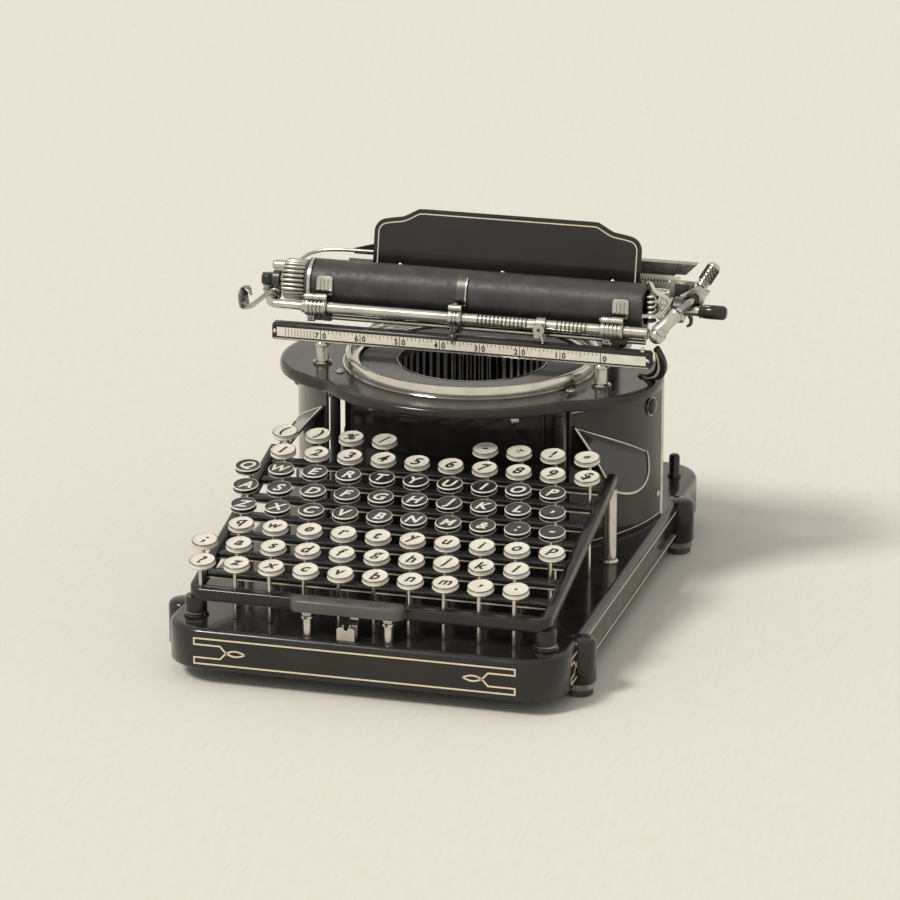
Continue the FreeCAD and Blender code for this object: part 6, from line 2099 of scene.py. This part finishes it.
@dataclass
class HandLevers:
    """The line-space lever at the right and the spoon-shaped release lever at the left."""

    axis: Pair = (62.0, 175.5)
    hub: Triple = (9.0, 128.3, 134.3)
    bush: float = 5.3
    release: Triple = (-132.3, 67.0, 167.5)
    pawl_plate: tuple[Pair, ...] = (
        (134.8, 184.5), (139.0, 188.6), (143.0, 190.5), (145.0, 189.1), (147.0, 189.8), (146.7, 187.6),
        (149.3, 187.2), (148.2, 185.1), (146.3, 182.8), (145.2, 179.0), (141.2, 176.2), (138.0, 176.0),
        (134.8, 177.4),
    )

    def build(self) -> None:
        """Builds both levers."""
        self.line_lever()
        self.spoon()

    def line_lever(self) -> None:
        """A hub plate with ratchet nicks, a bent neck with a knurled handle, and the pawl plate."""
        form = Form()
        y, z = self.axis
        outer, x0, x1 = self.hub
        base, end, bush = xyz(x0, y, z), x1 - x0, self.bush
        nicks = [0.93 if 20 < 360 * n / 96 < 120 and n % 3 == 0 else 1.0 for n in range(96)]
        rings = []
        for depth, size in ((0.0, 0.95), (0.4, 1.0), (end - 0.4, 1.0), (end, 0.95)):
            rings.append(ring(base + X * depth, [(outer - 1.0) * size * nick for nick in nicks], Y, Z))
        form.loft(rings, 1, caps=False)
        for depth, rim in ((0.0, rings[0]), (end, rings[-1])):
            form.sheet([rim, ring(base + X * depth, [bush] * 40, Y, Z)], 1)
        form.lathe([(bush, 0), (bush, end)], base, X, 40, 1)
        form.lathe([(bush, end), (bush + 1.5, end), (bush + 1.2, end + 0.5), (bush, end + 0.5)], base, X, 40)
        middle = xyz((x0 + x1) / 2, y, z)
        elbow, tip = middle + xyz(11.1, 11.0, 12.5), middle + xyz(18.4, 18.5, 25.2)
        start = middle + xyz(0, 5.0, 5.6)
        neck = [start, start.lerp(elbow, 0.5) + xyz(0.6, 0, -0.4), elbow, elbow.lerp(tip, 0.2)]
        form.tube(smooth_path(neck), 2.4, 16)
        self.handle(form, elbow, tip)
        form.prism([xyz(a, y + 3.8, b) for a, b in self.pawl_plate], Y * 1.8)
        form.piece(
            "line_handle", "line_space_lever", NICKEL, DARK_STEEL, replaces="line_space_lever", sharp=25
        )

    @staticmethod
    def handle(form: Form, elbow: Vector, tip: Vector) -> None:
        """The handle: two collars, a grip with crossed knurling, and a round end.

        Args:
            form: What it is added to.
            elbow: Where it starts.
            tip: Where it ends.
        """
        way, grip = (tip - elbow).normalized(), (tip - elbow).length
        collars = [
            (0, -0.4), (3.4, -0.4), (3.9, 0.1), (3.9, 1.5), (3.2, 2.0), (3.2, 2.6), (4.0, 3.1), (4.0, 3.6),
        ]
        form.lathe(collars, elbow, way, 32)
        u, v = across(way)
        turns, rows = 16, 8
        knurl = []
        for k in range(rows + 1):
            sizes = [4.15 if (n + k) % 2 else 3.7 for n in range(turns)]
            knurl.append(ring(elbow + way * (3.6 + (grip - 6.4) * k / rows), sizes, u, v))
        form.loft(knurl)
        for k in range(rows):
            for n in range(turns):
                near, far = (n, (n + 1) % turns) if (n + k) % 2 else ((n + 1) % turns, n)
                a, b = knurl[k][near], knurl[k + 1][far]
                out = a.lerp(b, 0.5) - elbow
                out = (out - way * way.dot(out)).normalized()
                form.ribbon([a.lerp(b, 0.1), a.lerp(b, 0.9)], 0.5, out, 0.3, 1)
        end = [(4.05, grip - 2.9), (4.1, grip - 2.2), (3.7, grip - 1.0), (2.6, grip - 0.2), (0, grip)]
        form.lathe(end, elbow, way, 32)

    def spoon(self) -> None:
        """A thumb nut on its post, and a leaf that curls up into a loop."""
        form = Form()
        post = Vector(self.release)
        form.rod(post - Z * 6, Z, 2.4, 8.6, 24)
        collar = [
            (2.4, -2.0), (3.8, -2.0), (3.8, -0.7), (3.2, -0.3), (3.2, 0.6), (3.8, 1.0), (3.8, 2.3),
            (2.4, 2.5),
        ]
        form.lathe(collar, post, Z, 28)
        nut = []
        for height, size in ((2.5, 0.88), (3.0, 1.0), (7.6, 1.0), (8.6, 0.86), (9.2, 0.6), (9.5, 0.3)):
            groove = 0.94 if size > 0.9 else 1.0
            nut.append(ring(post + Z * height, [4.7 * size * groove, 4.7 * size] * 24))
        form.loft(nut, 2)
        form.prism([post + xyz(4.0 * a, 0.5 * b, 8.9) for a, b in SQUARE], Z * 0.55, 1)
        leaf = [
            (-1.0, 1.0, -3.6), (-8.0, 8.0, -10.5), (-16.0, 16.0, -17.5), (-21.0, 20.5, -21.3),
            (-24.2, 24.0, -19.8), (-25.2, 25.0, -14.0), (-23.6, 23.4, -9.0), (-21.0, 20.4, -7.6),
            (-17.0, 16.6, -11.0),
        ]
        section = [
            (-1, -0.3), (-0.6, -1), (0.6, -1), (1, -0.3), (1, 0.3), (0.6, 1), (-0.6, 1), (-1, 0.3),
        ]
        spine = smooth_path([post + Vector(p) for p in leaf])
        side = xyz(1, 1).normalized()
        rings = []
        for n, p in enumerate(spine):
            share = n / (len(spine) - 1)
            out = heading(spine, n).cross(side).normalized()
            wide = 2.2 + 1.6 * math.sin(math.pi * min(1.0, share * 1.15))
            if share >= 0.92:
                wide = 2.0 - 1.4 * (share - 0.92) / 0.08
            rings.append([p + side * (wide * a) + out * (0.75 * b) for a, b in section])
        form.loft(rings)
        form.piece("release_spoon", "release_lever", STEEL, DARK_STEEL, BLACK, replaces="release_lever")


@dataclass
class PaperTable:
    """The leaning paper table: a bare japanned plate with ogee shoulders and a lined border."""

    left: float = -70.0
    right: float = 101.0
    bottom: float = 180.5
    top: float = 219.0
    y: float = 84.0
    tilt: float = 12.0
    thick: float = 2.0
    step: float = 8.0

    def at(self, x: float, up: float, back: float) -> Vector:
        """A point on the plate.

        Args:
            x: How far along it.
            up: How far up it.
            back: How far behind its face.

        Returns:
            The point.
        """
        t = math.radians(self.tilt)
        y, z = back * math.cos(t) + up * math.sin(t), up * math.cos(t) - back * math.sin(t)
        return xyz(x, self.y + y, self.bottom + z)

    def outline(self) -> list[Vector]:
        """The plate's outline in its own plane.

        Returns:
            Its points, anticlockwise from the lower right.
        """
        s, edge, high = self.step, self.right, self.top - self.bottom
        right = [X * edge, xyz(edge, high - 2 * s)]
        right += arc(xyz(edge - 1.1 * s, high - 2 * s), 1.1 * s, 8, 82, 8)
        ogee = [(1.5, 0.8), (2.3, 0.66), (3.0, 0.3), (3.5, 0.03)]
        right += smooth_path([xyz(edge - a * s, high - b * s) for a, b in ogee], 4)
        right.append(xyz(edge - 4.0 * s, high))
        return right + [xyz(self.left + edge - p.x, p.y) for p in reversed(right)]

    def build(self) -> None:
        """Builds the table."""
        form = Form()
        outline = self.outline()
        edge = [(0.5, 0.0), (0.12, 0.15), (0.0, 0.5), (0.0, 1.5), (0.12, 1.85), (0.5, self.thick)]
        form.loft([[self.at(p.x, p.y, p.z) for p in loop] for loop in stepped(outline, edge)])
        face = self.at(0, 0, -1) - self.at(0, 0, 0)
        line = [self.at(p.x, max(p.y, 0.6), 0.0) for p in inset(outline, 3.0)]
        form.ribbon(line, 0.7, face, 0.1, 1)
        for x in TABLE_SCREWS:
            screw(form, self.at(x, 2.5, 0.0), face, 1.5, 40.0 + x, 2)
        form.piece("table_plate", "carriage", BLACK, LINING, NICKEL, replaces="paper_table")


@dataclass
class Drive:
    """The rear way, the truck and rack, and the spring that draws the carriage."""

    drum: tuple[float, float, float, float, float] = (-58.0, 139.0, 152.5, 20.0, 14.0)
    rack: tuple[float, float, float, float] = (40.0, 122.0, 107.6, 182.4)
    tooth: float = 2.0

    def build(self) -> None:
        """Dresses the running gear, and builds the rack's face in pale ivory as painted light, the end of
        the tube and the drum's case.
        """
        dress(NICKEL, "carriage_truck")
        dress(POLISHED, "carriage_rack")
        dress(STEEL, "escape_wheel", "lever_fulcrum_shaft", "carriage_way")
        dress(STEEL, *[f"levers_row{n + 1}" for n in range(8)])
        self.rack_teeth()
        self.spring_drum()
        stub = Form()
        profile = [(0, 0), (2.4, 0), (3.1, 0.9), (3.3, 2.0), (3.3, 16.0), (0, 16.0)]
        stub.lathe(profile, xyz(-140.0, 101.0, 172.0), X, 28)
        stub.piece("tube_end", "truck", NICKEL)

    def rack_teeth(self) -> None:
        """The toothed face of the rack, in pale ivory: painted light on a rack that lies in shade."""
        form = Form()
        start, end, y, top = self.rack
        teeth = [xyz(end, y, top), xyz(start, y, top)]
        for n in range(round((end - start) / self.tooth)):
            x = start + n * self.tooth
            teeth += [xyz(x, y, top - 4.2), xyz(x + self.tooth / 2, y, top - 1.8)]
        # painted light: pale ivory teeth stand for the lit steel of the rack
        form.prism(teeth, Y * 1.0)
        form.piece("rack_face_painted_light", "truck", SCALE_FACE)

    def spring_drum(self) -> None:
        """A turned drum with a lip at each side, a groove for the strap and three rivets."""
        form = Form()
        x, y, z, r, end = self.drum
        profile = [
            (3.3, 0), (r - 0.5, 0), (r, 0.4), (r, 1.6), (r - 0.6, 2.0), (r - 2.0, 2.0),
            (r - 2.0, end - 2.0), (r - 0.6, end - 2.0), (r, end - 1.6), (r, end - 0.4), (r - 0.5, end),
            (r - 4.5, end), (r - 5.2, end - 0.5), (6.5, end - 0.5), (6.0, end), (3.3, end), (3.3, 0),
        ]
        form.lathe(profile, xyz(x, y, z), Y, 64)
        for where in arc(xyz(x, y + end - 0.6, z), 11.5, 30, 270, 2, X, Z):
            form.lathe([(0, 0), (1.6, 0), (1.2, 0.5), (0, 0.6)], where, Y, 16)
        form.piece("drum_case", "spring_drum", STEEL, replaces="mainspring_drum")


# ------------------------------------------------------------------ studio
@dataclass
class Studio:
    """Camera, floor and light."""

    turn: float = 15.5
    rise: float = 18.5
    distance: float = 3.0
    shift: Pair = (0.003386, 0.088755)
    lens: float = 194.86
    paper: Triple = (0.80, 0.765, 0.68)
    sky: float = 0.55
    sun: float = 1.9

    def build(self) -> None:
        """Sets up the scene round the machine."""
        self.camera()
        self.floor()
        self.light()

    def camera(self) -> None:
        """A long lens from the front, a little to the right and above."""
        a, e = math.radians(self.turn), math.radians(self.rise)
        right = xyz(math.cos(a), math.sin(a))
        back = xyz(math.sin(a) * math.cos(e), -math.cos(a) * math.cos(e), math.sin(e))
        up = xyz(-math.sin(a) * math.sin(e), math.cos(a) * math.sin(e), math.cos(e))
        where = right * self.shift[0] + up * self.shift[1] + back * self.distance
        data = bpy.data.cameras.new("view")
        data.lens, data.sensor_width, data.clip_end = self.lens, 36.0, 50.0
        camera = bpy.data.objects.new("view", data)
        rows = [[right[n], up[n], back[n], where[n]] for n in range(3)] + [[0, 0, 0, 1]]
        camera.matrix_world = Matrix(rows)
        bpy.context.collection.objects.link(camera)
        bpy.context.scene.camera = camera
        bpy.context.scene.view_settings.view_transform = "Standard"

    def floor(self) -> None:
        """A wide pale floor under the feet."""
        mesh = bpy.data.meshes.new("floor")
        mesh.from_pydata([(-9, -9, 0), (9, -9, 0), (9, 9, 0), (-9, 9, 0)], [], [(0, 1, 2, 3)])
        mesh.materials.append(GROUND.material())
        floor = bpy.data.objects.new("floor", mesh)
        bpy.context.collection.objects.link(floor)

    def light(self) -> None:
        """A plain pale world, and one soft sun from the upper left."""
        world = bpy.data.worlds.new("studio")
        bpy.context.scene.world = world
        world.use_nodes = True
        nodes = world.node_tree.nodes
        links = world.node_tree.links
        nodes.clear()
        out = nodes.new("ShaderNodeOutputWorld")
        mix = nodes.new("ShaderNodeMixShader")
        rays = nodes.new("ShaderNodeLightPath")
        either = nodes.new("ShaderNodeMath")
        either.operation = "MAXIMUM"
        fill, seen = nodes.new("ShaderNodeBackground"), nodes.new("ShaderNodeBackground")
        fill.inputs["Color"].default_value = (1.0, 0.985, 0.96, 1)
        fill.inputs["Strength"].default_value = self.sky
        seen.inputs["Color"].default_value = (*self.paper, 1)
        seen.inputs["Strength"].default_value = 1.0
        links.new(rays.outputs["Is Camera Ray"], either.inputs[0])
        links.new(rays.outputs["Is Glossy Ray"], either.inputs[1])
        links.new(either.outputs[0], mix.inputs[0])
        links.new(fill.outputs[0], mix.inputs[1])
        links.new(seen.outputs[0], mix.inputs[2])
        links.new(mix.outputs[0], out.inputs["Surface"])
        lamp = bpy.data.lights.new("key", "SUN")
        lamp.energy, lamp.angle, lamp.color = self.sun, math.radians(14), (1.0, 0.975, 0.93)
        sun = bpy.data.objects.new("key", lamp)
        way = xyz(-0.55, -0.62, 1.0).normalized()
        sun.rotation_euler = way.to_track_quat("Z", "Y").to_euler()
        bpy.context.collection.objects.link(sun)


def main() -> None:
    """Builds the machine, from the base up."""
    logging.basicConfig(level=logging.INFO, format="%(message)s")
    assemblies = [
        Base(), KeyboardFrame(), *KeyRow.rows(), SpaceBar(), Body(), TopPlate(), TypeBasket(), ScaleBar(),
        GuardArm(), Carriage(), MarginStop(), Platen(), HandLevers(), PaperTable(), Drive(), Studio(),
    ]
    for assembly in assemblies:
        assembly.build()
        LOG.info("built %s", type(assembly).__name__)


if __name__ == "__main__":
    main()
